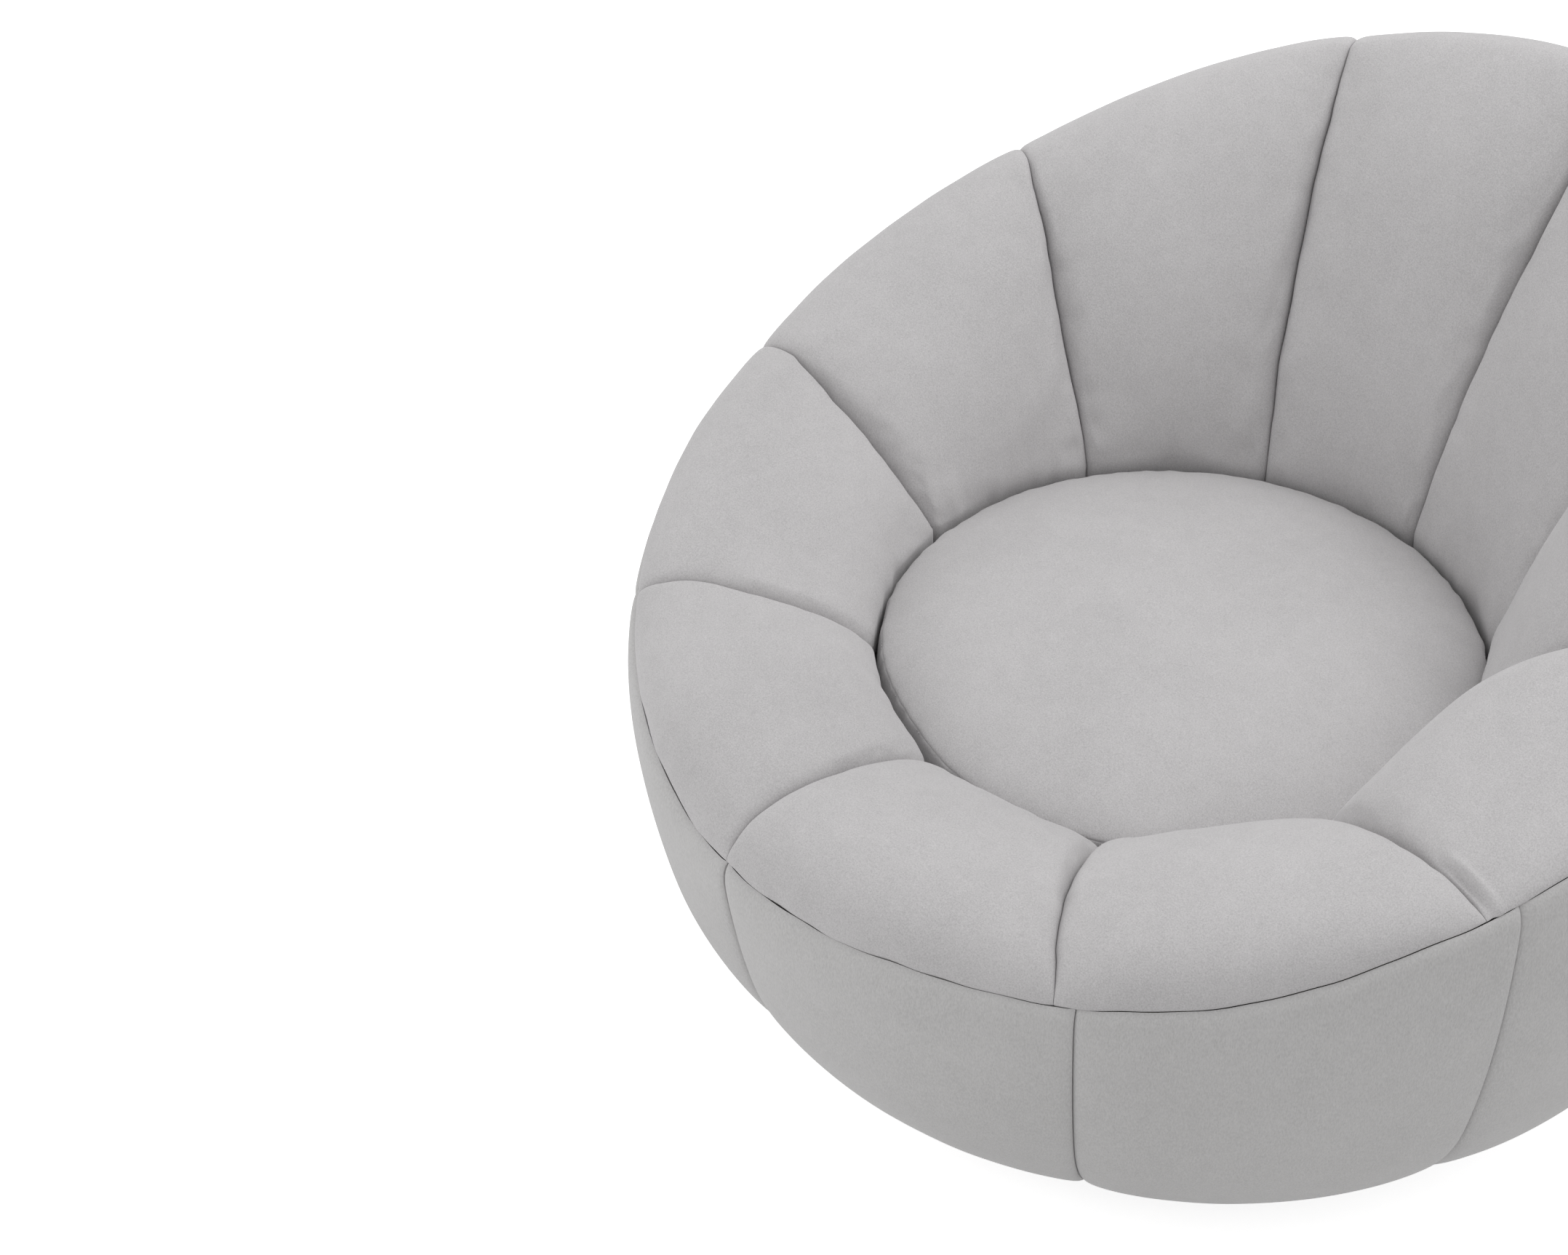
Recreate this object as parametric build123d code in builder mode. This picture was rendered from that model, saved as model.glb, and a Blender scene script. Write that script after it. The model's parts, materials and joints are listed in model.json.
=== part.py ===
import math
import os

from build123d import *

# Driving dimensions, millimetres. Origin on the floor on the swivel axis, +Z up, the chair faces -Y.
# Angles are in degrees from the front about the shell's own centre, positive towards +X.

# Whole body in plan, with the pad seams and outer seams of one side from front to back
SEAM_ANGLES = [0.0, 37.5, 74.0, 109.0, 145.0, 180.0]
OUTER_SEAM_ANGLES = [0.0, 39.5, 77.5, 111.5, 146.5, 180.0]
RIM_RADIUS = 510.0
WELL_RADIUS = 275.0
WELL_FORWARD = 24.0
SHELL_FORWARD = 6.1

# Rim seam over the cushion edge: mean rise, front to back swing, lift at front and back
RIM_RISE = 150.0
RIM_SWING = 174.0
RIM_LIFT = 21.0

# Crest of the pads at their seams: rise over the rim seam, swing, lift, and run inside the rim
CREST_RISE = 13.0
CREST_SWING = 181.5
CREST_LIFT = 60.5
CREST_RUN = 42.0
CREST_RUN_LIFT = 18.0

# Pads: crown over the seams by bay from front to back, crown at the crest, roll down to the rim seam
PAD_CROWN = [33.0, 50.0, 52.0, 34.0, 26.0]
CREST_CROWN = 8.0
CREST_CROWN_SWING = 8.0
PAD_ROLL = 14.0
PAD_ROLL_CROWN = 8.0
PAD_SEAM = 0.06

# Outer panels: crown between seams, largest bow, skin, knee and hip of the profile, turn under
PANEL_CROWN = 9.0
PANEL_BULGE = 20.0
PANEL_SKIN = 18.0
KNEE_INSET = 20.0
KNEE_RISE = 145.0
HIP_INSET = 51.0
HIP_RISE = 72.0
TUCK_WIDTH = 32.0
TUCK_SKIN = 2.0
DUST_MARGIN = 14.0
DUST_PLATE_GAP = 5.0
DUST_SKIN = 1.0

# Base and swivel, stacked from the floor
GLIDE_HEIGHT = 8.0
GLIDE_RADIUS = 16.0
GLIDE_MARGIN = 32.0
GLIDE_PIN = 3.0
GLIDE_PIN_LENGTH = 14.0
GLIDES = 6
BASE_RADIUS = 300.0
BASE_THICK = 25.0
BASE_ROUND = 4.0
PLATE_THICK = 3.0
GROOVE_RADIUS = 6.0
GROOVE_DEPTH = 1.5
RACE_RADIUS = 95.0
BALLS = 20
CAGE_WIDTH = 22.0
CAGE_THICK = 2.8
LOWER_PLATE_RIM = 20.0
BUSH_RADIUS = 20.0
BUSH_BORE = 12.0
BUSH_FLANGE_WIDTH = 8.0
BUSH_FLANGE_THICK = 2.2
WASHER_THICK = 0.9
BOLTS = 6
BOLT_RADIUS = 4.0
BOLT_HEAD_RADIUS = 7.5
BOLT_HEAD_THICK = 5.2
BOLT_MARGIN = 15.0
BOLT_EDGE = 20.0
TEE_RADIUS = 5.0
TEE_BARREL = 11.0
TEE_FLANGE_RADIUS = 9.5
TEE_FLANGE_THICK = 1.5
BASE_SCREWS = 6
BASE_SCREW_INSET = 30.0
BASE_SCREW = 2.4
BASE_SCREW_LENGTH = 22.0
BASE_SCREW_HEAD = 5.0
BASE_SCREW_HEAD_THICK = 2.6

# Frame
BOARD_INSET = 160.0
BOARD_THICK = 18.0
BOARD_HOLE_MARGIN = 17.0
BASE_HOLE_MARGIN = 12.0
RIB_THICK = 18.0
RIB_FOOT = 45.0
RIB_STEP_GAP = 2.6
RIB_HEAD_INSET = 1.5
RIB_FOOT_INSET = 4.0
RIB_SCREW = 2.4
RIB_SCREW_LENGTH = 58.0
RIB_SCREW_HEAD = 5.0
RIB_SCREW_INSETS = [38.0, 14.0]
SCREW_HEAD_THICK = 3.0
RING_RISE = 192.0
RING_THICK = 18.0
RING_WIDTH_IN = 40.0
RING_WIDTH_OUT = 36.0
RING_SCREW = 2.0
RING_SCREW_LENGTH = 48.0
RING_SCREW_HEAD = 4.5
RAIL_DROP = 14.0
RAIL_THICK = 19.0
RAIL_INSET = 22.0
RAIL_WIDTH = 48.0
DOWEL_RADIUS = 4.0
DOWEL_IN_RAIL = 12.5
DOWEL_IN_RIB = 24.5

# Seat
STRAPS = 5
STRAP_WIDTH = 50.0
STRAP_THICK = 2.0
STRAP_MARGIN = 6.0
DECK_THICK = 10.0
CUSHION_BOXING = 85.0
CUSHION_DOME = 52.0
CUSHION_ROUND = 20.0

# Clearances: laid together, bored holes, running plates, loose soft pieces, wood behind soft pieces
LAY_GAP = 0.2
HOLE_GAP = 0.05
BALL_PLAY = 0.1
POCKET_PLAY = 0.35
RUN_GAP = 0.3
SOFT_GAP = 0.4
WELL_GAP = 2.0
CUSHION_GAP = 5.0
BACKING_GAP = 1.0
RIM_GAP = 0.8

# Sizes that follow
BAYS = 2 * (len(SEAM_ANGLES) - 1)
BALL_RADIUS = GROOVE_RADIUS - BALL_PLAY
RACE_GAP = 2 * (GROOVE_RADIUS - GROOVE_DEPTH)
BASE_TOP = GLIDE_HEIGHT + BASE_THICK
LOWER_TOP = BASE_TOP + PLATE_THICK
RACE_MID = LOWER_TOP + RACE_GAP / 2
UPPER_BOTTOM = LOWER_TOP + RACE_GAP
BOARD_BOTTOM = UPPER_BOTTOM + PLATE_THICK
BOARD_TOP = BOARD_BOTTOM + BOARD_THICK
TUCK_TOP = BOARD_BOTTOM - SOFT_GAP
TUCK_BOTTOM = TUCK_TOP - TUCK_SKIN
RING_TOP = BOARD_TOP + RING_RISE
RING_BOTTOM = RING_TOP - RING_THICK
STRAP_LOW = RING_TOP + LAY_GAP
STRAP_HIGH = STRAP_LOW + STRAP_THICK + LAY_GAP
DECK_BOTTOM = STRAP_HIGH + STRAP_THICK + LAY_GAP
CUSHION_BOTTOM = DECK_BOTTOM + DECK_THICK + SOFT_GAP
CUSHION_EDGE = CUSHION_BOTTOM + CUSHION_BOXING
CUSHION_CROWN = CUSHION_EDGE + CUSHION_DOME
CUSHION_RADIUS = WELL_RADIUS + WELL_GAP - CUSHION_GAP
RIM_MEAN = CUSHION_EDGE + RIM_RISE
CREST_MEAN = RIM_MEAN + CREST_RISE
RAIL_MEAN = RIM_MEAN - RAIL_DROP
RAIL_SLOPE = RIM_SWING / RIM_RADIUS
RAIL_OUTER = RIM_RADIUS - RAIL_INSET
RAIL_INNER = RAIL_OUTER - RAIL_WIDTH
DOWEL_CIRCLE = (RAIL_OUTER + RAIL_INNER) / 2
BOARD_RADIUS = RIM_RADIUS - BOARD_INSET
TUCK_RADIUS = BOARD_RADIUS - TUCK_WIDTH
KNEE_RADIUS = RIM_RADIUS - KNEE_INSET
KNEE_HEIGHT = BOARD_TOP + KNEE_RISE
HIP_RADIUS = RIM_RADIUS - HIP_INSET
HIP_HEIGHT = BOARD_TOP + HIP_RISE
RING_OUT = WELL_RADIUS + RING_WIDTH_OUT
RING_IN = WELL_RADIUS - RING_WIDTH_IN
RING_SCREW_RUN = RING_WIDTH_OUT / 2
RING_SCREW_HOLE = RING_SCREW + HOLE_GAP
RIB_SCREW_HOLE = RIB_SCREW + HOLE_GAP
HEAD_RECESS = SCREW_HEAD_THICK + 2 * LAY_GAP
LOWER_PLATE_RADIUS = RACE_RADIUS + LOWER_PLATE_RIM
BOLT_CIRCLE = LOWER_PLATE_RADIUS + BOLT_MARGIN
UPPER_PLATE_RADIUS = BOLT_CIRCLE + BOLT_EDGE
BASE_SCREW_CIRCLE = RACE_RADIUS - BASE_SCREW_INSET
BUSH_FLANGE = BUSH_RADIUS + BUSH_FLANGE_WIDTH
BOARD_HOLE = BUSH_FLANGE + BOARD_HOLE_MARGIN
GLIDE_CIRCLE = BASE_RADIUS - GLIDE_MARGIN
STRAP_REACH = WELL_RADIUS - STRAP_MARGIN
STRAP_PITCH = (STRAP_REACH - STRAP_WIDTH) / (STRAPS / 2)
SHELL_Y = -SHELL_FORWARD
WELL_Y = -SHELL_FORWARD - WELL_FORWARD
SINK = (Align.CENTER, Align.CENTER, Align.MAX)
STAND = (Align.CENTER, Align.CENTER, Align.MIN)

# Bay names in order, from the front seam round the +X side, then back along the -X side
SIDE_NAMES = ["front", "front_corner", "arm", "rear_corner", "back"]
BAY_NAMES = ["left_" + n for n in SIDE_NAMES] + ["right_" + n for n in reversed(SIDE_NAMES)]

os.makedirs("parts", exist_ok=True)


def facing(t):
    a = math.radians(t)
    return math.sin(a), -math.cos(a)


def rim_height(t):
    c = math.cos(math.radians(t))
    return RIM_MEAN - RIM_SWING * c + RIM_LIFT * c * c


def crest_height(t):
    c = math.cos(math.radians(t))
    return CREST_MEAN - CREST_SWING * c + CREST_LIFT * c * c


# Points and runs below are measured from the shell's centre
def well_point(t):
    dx, dy = facing(t)
    return WELL_RADIUS * dx, WELL_RADIUS * dy - WELL_FORWARD


def run_dir(t):
    ax, ay = well_point(t)
    dx, dy = facing(t)
    ex, ey = RIM_RADIUS * dx - ax, RIM_RADIUS * dy - ay
    length = math.hypot(ex, ey)
    return ex / length, ey / length, length


# Upright plane from the well circle to the rim circle: local x runs outward, local y is height
def seam_plane(t):
    ax, ay = well_point(t)
    ux, uy, _ = run_dir(t)
    return Plane(origin=(ax, ay + SHELL_Y, 0), x_dir=(ux, uy, 0), z_dir=(uy, -ux, 0))


# Upright plane through the shell's centre: local x is the distance from that centre
def axis_plane(t):
    dx, dy = facing(t)
    return Plane(origin=(0, SHELL_Y, 0), x_dir=(dx, dy, 0), z_dir=(dy, -dx, 0))


# Run along a seam plane at which the distance from the shell's centre is rho
def run_at(rho, t):
    ax, ay = well_point(t)
    ux, uy, _ = run_dir(t)
    b = ax * ux + ay * uy
    return -b + math.sqrt(b * b - (ax * ax + ay * ay - rho * rho))


def rail_top(s, t):
    _, ay = well_point(t)
    _, uy, _ = run_dir(t)
    return RAIL_MEAN + RAIL_SLOPE * (ay + s * uy)


# Point off the middle of a chord, to the left of its direction for a positive bulge
def bow(p, q, bulge):
    dx, dy = q[0] - p[0], q[1] - p[1]
    length = math.hypot(dx, dy)
    return ((p[0] + q[0]) / 2 - dy / length * bulge, (p[1] + q[1]) / 2 + dx / length * bulge)


def arc_centre(p, m, q):
    ax, ay = m[0] - p[0], m[1] - p[1]
    bx, by = q[0] - p[0], q[1] - p[1]
    cross = 2 * (ax * by - ay * bx)
    a2, b2 = ax * ax + ay * ay, bx * bx + by * by
    return p[0] + (by * a2 - ay * b2) / cross, p[1] + (ax * b2 - bx * a2) / cross


# Middle of the arc that runs on smoothly at p from an arc about the centre given, and ends at q
def smooth_mid(p, centre, q):
    nx, ny = centre[0] - p[0], centre[1] - p[1]
    size = math.hypot(nx, ny)
    nx, ny = nx / size, ny / size
    dx, dy = q[0] - p[0], q[1] - p[1]
    radius = (dx * dx + dy * dy) / (2 * (dx * nx + dy * ny))
    cx, cy = p[0] + radius * nx, p[1] + radius * ny
    wx, wy = (p[0] + q[0]) / 2 - cx, (p[1] + q[1]) / 2 - cy
    reach = abs(radius) / math.hypot(wx, wy)
    return cx + wx * reach, cy + wy * reach


# How full a pad or panel is across its bay, from seam (-1) to seam (1)
def fullness(v):
    return (1 - abs(v) ** 2.4) ** 0.62


ACROSS = [-1, -0.84, -0.5, 0, 0.5, 0.84, 1]


# Angle of seam k, counted from the front round the +X side, from the seams of one side
def seam_angle(angles, k):
    if k < len(angles):
        return angles[k]
    return 360 - angles[BAYS - k]


# Angle at a share v of bay i, from one seam (-1) to the next (1)
def bay_angle(angles, i, v):
    start = seam_angle(angles, i) + PAD_SEAM
    end = seam_angle(angles, i + 1) - PAD_SEAM
    return (start + end) / 2 + v * (end - start) / 2


# Inner face of a pad at one angle: lip at the cushion, shoulder, crest, and points between them
def pad_face(t, full, crown):
    c = math.cos(math.radians(t))
    _, _, length = run_dir(t)
    lip = (WELL_GAP, CUSHION_EDGE)
    top = (length - CREST_RUN - CREST_RUN_LIFT * c * c, crest_height(t))
    dx, dy = top[0] - lip[0], top[1] - lip[1]
    chord = math.hypot(dx, dy)
    sag = (0.07 - 0.02 * c) * chord
    points = [lip]
    for part, share in ((0.1, 0.75), (0.25, 1.0), (0.6, 0.72)):
        rise = 4 * part * (1 - part) * sag + crown * full * share
        x = lip[0] + part * dx - dy / chord * rise
        y = lip[1] + part * dy + dx / chord * rise
        points.append((max(x, WELL_GAP + 0.0003 * (y - lip[1]) ** 2), y))
    points.append((top[0], top[1] + (CREST_CROWN + CREST_CROWN_SWING * c) * full))
    return points


# Soft pads, one to a bay
for i, name in enumerate(BAY_NAMES):
    with BuildPart() as pad:
        for v in ACROSS:
            t = bay_angle(SEAM_ANGLES, i, v)
            full = fullness(v)
            _, _, length = run_dir(t)
            foot_in = (WELL_GAP, RING_TOP + SOFT_GAP)
            lip, low, shoulder, high, crest = pad_face(t, full, PAD_CROWN[min(i, BAYS - 1 - i)])
            rim = (length, rim_height(t))
            s_out = run_at(RAIL_OUTER + 2 * BACKING_GAP, t)
            s_in = run_at(RAIL_INNER - 2 * BACKING_GAP, t)
            over_rail = (s_out, rail_top(s_out, t) + BACKING_GAP)
            behind_rail = (s_in, rail_top(s_in, t) + BACKING_GAP)
            foot_out = (RING_WIDTH_OUT + BACKING_GAP, RING_TOP + SOFT_GAP)
            with BuildSketch(seam_plane(t)):
                with BuildLine():
                    Line(foot_in, lip)
                    ThreePointArc(lip, low, shoulder)
                    ThreePointArc(shoulder, high, crest)
                    ThreePointArc(crest, bow(crest, rim, PAD_ROLL + PAD_ROLL_CROWN * full), rim)
                    Polyline(rim, over_rail, behind_rail, foot_out, foot_in)
                make_face()
        loft()
    pad.part.label = name + "_pad"
    export_step(pad.part, "parts/" + name + "_pad.step")

# Profile of the outer panels about the shell's centre: top, waist, knee, hip, from outside or an inset
def panel_profile(t, full, inset):
    top = rim_height(t) - RIM_GAP
    knee = (KNEE_RADIUS + 0.9 * full, KNEE_HEIGHT)
    hip = (HIP_RADIUS + 0.75 * full, HIP_HEIGHT - 0.3 * full)
    foot = (BOARD_RADIUS + TUCK_SKIN, TUCK_BOTTOM)
    waist = smooth_mid(knee, arc_centre(knee, hip, foot), (RIM_RADIUS, top))
    limit = bow((RIM_RADIUS, top), knee, PANEL_BULGE)
    waist = min(waist, limit)
    if inset == 0:
        return (RIM_RADIUS, top), waist, knee, hip, foot
    rail_edge = RAIL_OUTER + 2 * BACKING_GAP
    rail = RAIL_MEAN - RAIL_SLOPE * rail_edge * math.cos(math.radians(t)) + BACKING_GAP
    share = (RIM_RADIUS - inset - rail_edge) / (RIM_RADIUS - rail_edge)
    edge = rail + share * (top - rail) - 3 * BACKING_GAP
    knee_in = (knee[0] - inset, knee[1] + inset / 5)
    hip_in = (hip[0] - 0.82 * inset, hip[1] + 0.6 * inset)
    foot_in = (BOARD_RADIUS + SOFT_GAP, BOARD_TOP + BACKING_GAP)
    waist_in = (waist[0] - inset, waist[1])
    return (RIM_RADIUS - inset, edge), waist_in, knee_in, hip_in, foot_in


# Outer panels, one under each pad, turned under the bottom board
for i, name in enumerate(BAY_NAMES):
    with BuildPart() as panel:
        for v in ACROSS:
            t = bay_angle(OUTER_SEAM_ANGLES, i, v)
            full = fullness(v) * PANEL_CROWN
            out_top, out_waist, out_knee, out_hip, out_foot = panel_profile(t, full, 0)
            in_top, in_waist, in_knee, in_hip, in_foot = panel_profile(t, full, PANEL_SKIN)
            with BuildSketch(axis_plane(t)):
                with BuildLine():
                    ThreePointArc(out_top, out_waist, out_knee)
                    ThreePointArc(out_knee, out_hip, out_foot)
                    Polyline(
                        out_foot,
                        (TUCK_RADIUS, TUCK_BOTTOM),
                        (TUCK_RADIUS, TUCK_TOP),
                        (BOARD_RADIUS + SOFT_GAP, TUCK_TOP),
                        in_foot,
                    )
                    ThreePointArc(in_foot, in_hip, in_knee)
                    ThreePointArc(in_knee, in_waist, in_top)
                    Line(in_top, out_top)
                make_face()
        loft()
    panel.part.label = name + "_panel"
    export_step(panel.part, "parts/" + name + "_panel.step")

# Upright ribs, one behind each pad seam, stopped under the sloping top rail
RIB_NAMES = ["front_rib"]
RIB_NAMES += ["left_rib_" + str(n) for n in range(1, 5)]
RIB_NAMES += ["back_rib"]
RIB_NAMES += ["right_rib_" + str(n) for n in range(4, 0, -1)]
RAIL_UNDER = Plane(
    origin=(0, SHELL_Y, RAIL_MEAN - RAIL_THICK), x_dir=(1, 0, 0), z_dir=(0, -RAIL_SLOPE, 1)
)
RAIL_OVER = Plane(origin=(0, SHELL_Y, RAIL_MEAN), x_dir=(1, 0, 0), z_dir=(0, -RAIL_SLOPE, 1))
SCREW_RUNS = [BOARD_RADIUS - inset for inset in RIB_SCREW_INSETS]


def on_seam(s, t, z):
    ax, ay = well_point(t)
    ux, uy, _ = run_dir(t)
    return ax + s * ux, ay + s * uy + SHELL_Y, z


for k, name in enumerate(RIB_NAMES):
    t = seam_angle(SEAM_ANGLES, k)
    step = RING_WIDTH_OUT + RIB_STEP_GAP
    s_head_in = run_at(RAIL_INNER + RIB_HEAD_INSET, t)
    head_in = rail_top(s_head_in, t) + BACKING_GAP
    s_head_out = run_at(RAIL_OUTER, t)
    head_out = rail_top(s_head_out, t) + BACKING_GAP
    _, waist_in, knee_in, hip_in, _ = panel_profile(t, 0, PANEL_SKIN + 2 * BACKING_GAP)
    waist = (run_at(waist_in[0], t), waist_in[1])
    knee = (run_at(knee_in[0], t), knee_in[1])
    hip = (run_at(hip_in[0], t), hip_in[1])
    foot = (run_at(BOARD_RADIUS - RIB_FOOT_INSET, t), BOARD_TOP + HOLE_GAP)
    foot_in = min(0, foot[0] - RIB_FOOT)
    with BuildPart() as rib:
        with BuildSketch(seam_plane(t)):
            with BuildLine():
                Polyline(
                    foot,
                    (foot_in, BOARD_TOP + HOLE_GAP),
                    (0, RING_BOTTOM - HOLE_GAP),
                    (step, RING_BOTTOM - HOLE_GAP),
                    (step, RING_TOP),
                    (s_head_in, head_in),
                    (s_head_out, head_out),
                    waist,
                    knee,
                    hip,
                    foot,
                )
            make_face()
        extrude(amount=RIB_THICK / 2, both=True)
        split(bisect_by=RAIL_UNDER.offset(-HOLE_GAP), keep=Keep.BOTTOM)
        for rho in SCREW_RUNS:
            with Locations(on_seam(run_at(rho, t), t, BOARD_BOTTOM)):
                Cylinder(RIB_SCREW_HOLE, RIB_SCREW_LENGTH + BACKING_GAP, align=STAND, mode=Mode.SUBTRACT)
        with Locations(on_seam(RING_SCREW_RUN, t, RING_TOP)):
            Cylinder(RING_SCREW_HOLE, RING_SCREW_LENGTH + BACKING_GAP, align=SINK, mode=Mode.SUBTRACT)
        s = run_at(DOWEL_CIRCLE, t)
        with Locations(on_seam(s, t, rail_top(s, t) - RAIL_THICK - DOWEL_IN_RIB - SOFT_GAP)):
            Cylinder(DOWEL_RADIUS + HOLE_GAP, DOWEL_IN_RIB + RAIL_THICK, align=STAND, mode=Mode.SUBTRACT)
    rib.part.label = name
    export_step(rib.part, "parts/" + name + ".step")

# Sloping hoop on the rib heads, bored for the dowels
with BuildPart() as top_rail:
    with BuildSketch(Plane.XY.offset(RAIL_MEAN - RIM_SWING - RAIL_THICK)):
        with Locations((0, SHELL_Y)):
            Circle(RAIL_OUTER)
            Circle(RAIL_INNER, mode=Mode.SUBTRACT)
    extrude(amount=2 * RIM_SWING + 2 * RAIL_THICK)
    split(bisect_by=RAIL_OVER, keep=Keep.BOTTOM)
    split(bisect_by=RAIL_UNDER, keep=Keep.TOP)
    for k in range(BAYS):
        t = seam_angle(SEAM_ANGLES, k)
        s = run_at(DOWEL_CIRCLE, t)
        with Locations(on_seam(s, t, rail_top(s, t) - RAIL_THICK + DOWEL_IN_RAIL + SOFT_GAP)):
            Cylinder(DOWEL_RADIUS + HOLE_GAP, 2 * RAIL_THICK, align=SINK, mode=Mode.SUBTRACT)
top_rail.part.label = "top_rail"
export_step(top_rail.part, "parts/top_rail.step")

with BuildPart() as rail_dowels:
    for k in range(BAYS):
        t = seam_angle(SEAM_ANGLES, k)
        s = run_at(DOWEL_CIRCLE, t)
        with Locations(on_seam(s, t, rail_top(s, t) - RAIL_THICK - DOWEL_IN_RIB)):
            Cylinder(DOWEL_RADIUS, DOWEL_IN_RIB + DOWEL_IN_RAIL, align=STAND)
rail_dowels.part.label = "rail_dowels"
export_step(rail_dowels.part, "parts/rail_dowels.step")

# Seat ring round the well, with countersinks for its screws
with BuildPart() as seat_ring:
    with BuildSketch(Plane.XY.offset(RING_BOTTOM)):
        with Locations((0, WELL_Y)):
            Circle(RING_OUT)
            Circle(RING_IN, mode=Mode.SUBTRACT)
    extrude(amount=RING_THICK)
    for k in range(BAYS):
        with Locations(on_seam(RING_SCREW_RUN, seam_angle(SEAM_ANGLES, k), RING_TOP)):
            Cylinder(RING_SCREW_HOLE, RING_SCREW_LENGTH, align=SINK, mode=Mode.SUBTRACT)
            Cylinder(RING_SCREW_HEAD + HOLE_GAP, HEAD_RECESS, align=SINK, mode=Mode.SUBTRACT)
seat_ring.part.label = "seat_ring"
export_step(seat_ring.part, "parts/seat_ring.step")

with BuildPart() as ring_screws:
    for k in range(BAYS):
        with Locations(on_seam(RING_SCREW_RUN, seam_angle(SEAM_ANGLES, k), RING_TOP - LAY_GAP)):
            Cylinder(RING_SCREW_HEAD, SCREW_HEAD_THICK, align=SINK)
            Cylinder(RING_SCREW, RING_SCREW_LENGTH, align=SINK)
ring_screws.part.label = "ring_screws"
export_step(ring_screws.part, "parts/ring_screws.step")

# Webbing laid front to back, then side to side over it, ends on the ring
STRAP_STEPS = [n - (STRAPS - 1) / 2 for n in range(STRAPS)]
with BuildPart() as webbing_long:
    for n in STRAP_STEPS:
        x = n * STRAP_PITCH
        half = math.sqrt(STRAP_REACH**2 - (abs(x) + STRAP_WIDTH / 2) ** 2)
        with Locations((x, WELL_Y, STRAP_LOW)):
            Box(STRAP_WIDTH, 2 * half, STRAP_THICK, align=STAND)
webbing_long.part.label = "webbing_long"
export_step(webbing_long.part, "parts/webbing_long.step")

with BuildPart() as webbing_cross:
    for n in STRAP_STEPS:
        y = n * STRAP_PITCH
        half = math.sqrt(STRAP_REACH**2 - (abs(y) + STRAP_WIDTH / 2) ** 2)
        with Locations((0, y + WELL_Y, STRAP_HIGH)):
            Box(2 * half, STRAP_WIDTH, STRAP_THICK, align=STAND)
webbing_cross.part.label = "webbing_cross"
export_step(webbing_cross.part, "parts/webbing_cross.step")

with BuildPart() as deck_pad:
    with BuildSketch(Plane.XY.offset(DECK_BOTTOM)):
        with Locations((0, WELL_Y)):
            Circle(WELL_RADIUS - BACKING_GAP)
    extrude(amount=DECK_THICK)
deck_pad.part.label = "deck_pad"
export_step(deck_pad.part, "parts/deck_pad.step")

# Loose seat cushion: flat under face, bowed boxing, crowned top, turned about its own axis
with BuildPart() as seat_cushion:
    with BuildSketch(Plane(origin=(0, WELL_Y, 0), x_dir=(1, 0, 0), z_dir=(0, -1, 0))):
        with BuildLine():
            under = (CUSHION_RADIUS - 0.7 * CUSHION_ROUND, CUSHION_BOTTOM)
            low = (CUSHION_RADIUS - 0.15 * CUSHION_ROUND, CUSHION_BOTTOM + 0.6 * CUSHION_ROUND)
            high = (CUSHION_RADIUS - 0.1 * CUSHION_ROUND, CUSHION_EDGE - 0.6 * CUSHION_ROUND)
            shoulder = (CUSHION_RADIUS - CUSHION_ROUND, CUSHION_EDGE + 0.35 * CUSHION_ROUND)
            crown = (0, CUSHION_CROWN)
            Line((0, CUSHION_BOTTOM), under)
            ThreePointArc(under, bow(under, low, -0.15 * CUSHION_ROUND), low)
            ThreePointArc(low, (CUSHION_RADIUS, (low[1] + high[1]) / 2), high)
            ThreePointArc(high, bow(high, shoulder, -0.25 * CUSHION_ROUND), shoulder)
            drop = crown[1] - shoulder[1]
            ball = (shoulder[0] ** 2 + drop**2) / (2 * drop)
            half = shoulder[0] / 2
            ThreePointArc(shoulder, (half, crown[1] - ball + math.sqrt(ball**2 - half**2)), crown)
            Line(crown, (0, CUSHION_BOTTOM))
        make_face()
    revolve(axis=Axis((0, WELL_Y, 0), (0, 0, 1)))
seat_cushion.part.label = "seat_cushion"
export_step(seat_cushion.part, "parts/seat_cushion.step")

# Bottom board: pivot hole, tee nut holes and countersunk rib screw holes
with BuildPart() as bottom_board:
    with BuildSketch(Plane.XY.offset(BOARD_BOTTOM)):
        with Locations((0, SHELL_Y)):
            Circle(BOARD_RADIUS)
        Circle(BOARD_HOLE, mode=Mode.SUBTRACT)
        with PolarLocations(BOLT_CIRCLE, BOLTS):
            Circle(TEE_RADIUS + HOLE_GAP, mode=Mode.SUBTRACT)
    extrude(amount=BOARD_THICK)
    for k in range(BAYS):
        t = seam_angle(SEAM_ANGLES, k)
        for rho in SCREW_RUNS:
            with Locations(on_seam(run_at(rho, t), t, BOARD_BOTTOM)):
                Cylinder(RIB_SCREW_HOLE, RIB_SCREW_LENGTH, align=STAND, mode=Mode.SUBTRACT)
                Cylinder(RIB_SCREW_HEAD + HOLE_GAP, HEAD_RECESS, align=STAND, mode=Mode.SUBTRACT)
bottom_board.part.label = "bottom_board"
export_step(bottom_board.part, "parts/bottom_board.step")

with BuildPart() as rib_screws:
    for k in range(BAYS):
        t = seam_angle(SEAM_ANGLES, k)
        for rho in SCREW_RUNS:
            with Locations(on_seam(run_at(rho, t), t, BOARD_BOTTOM + LAY_GAP)):
                Cylinder(RIB_SCREW_HEAD, SCREW_HEAD_THICK, align=STAND)
                Cylinder(RIB_SCREW, RIB_SCREW_LENGTH, align=STAND)
rib_screws.part.label = "rib_screws"
export_step(rib_screws.part, "parts/rib_screws.step")

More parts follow.
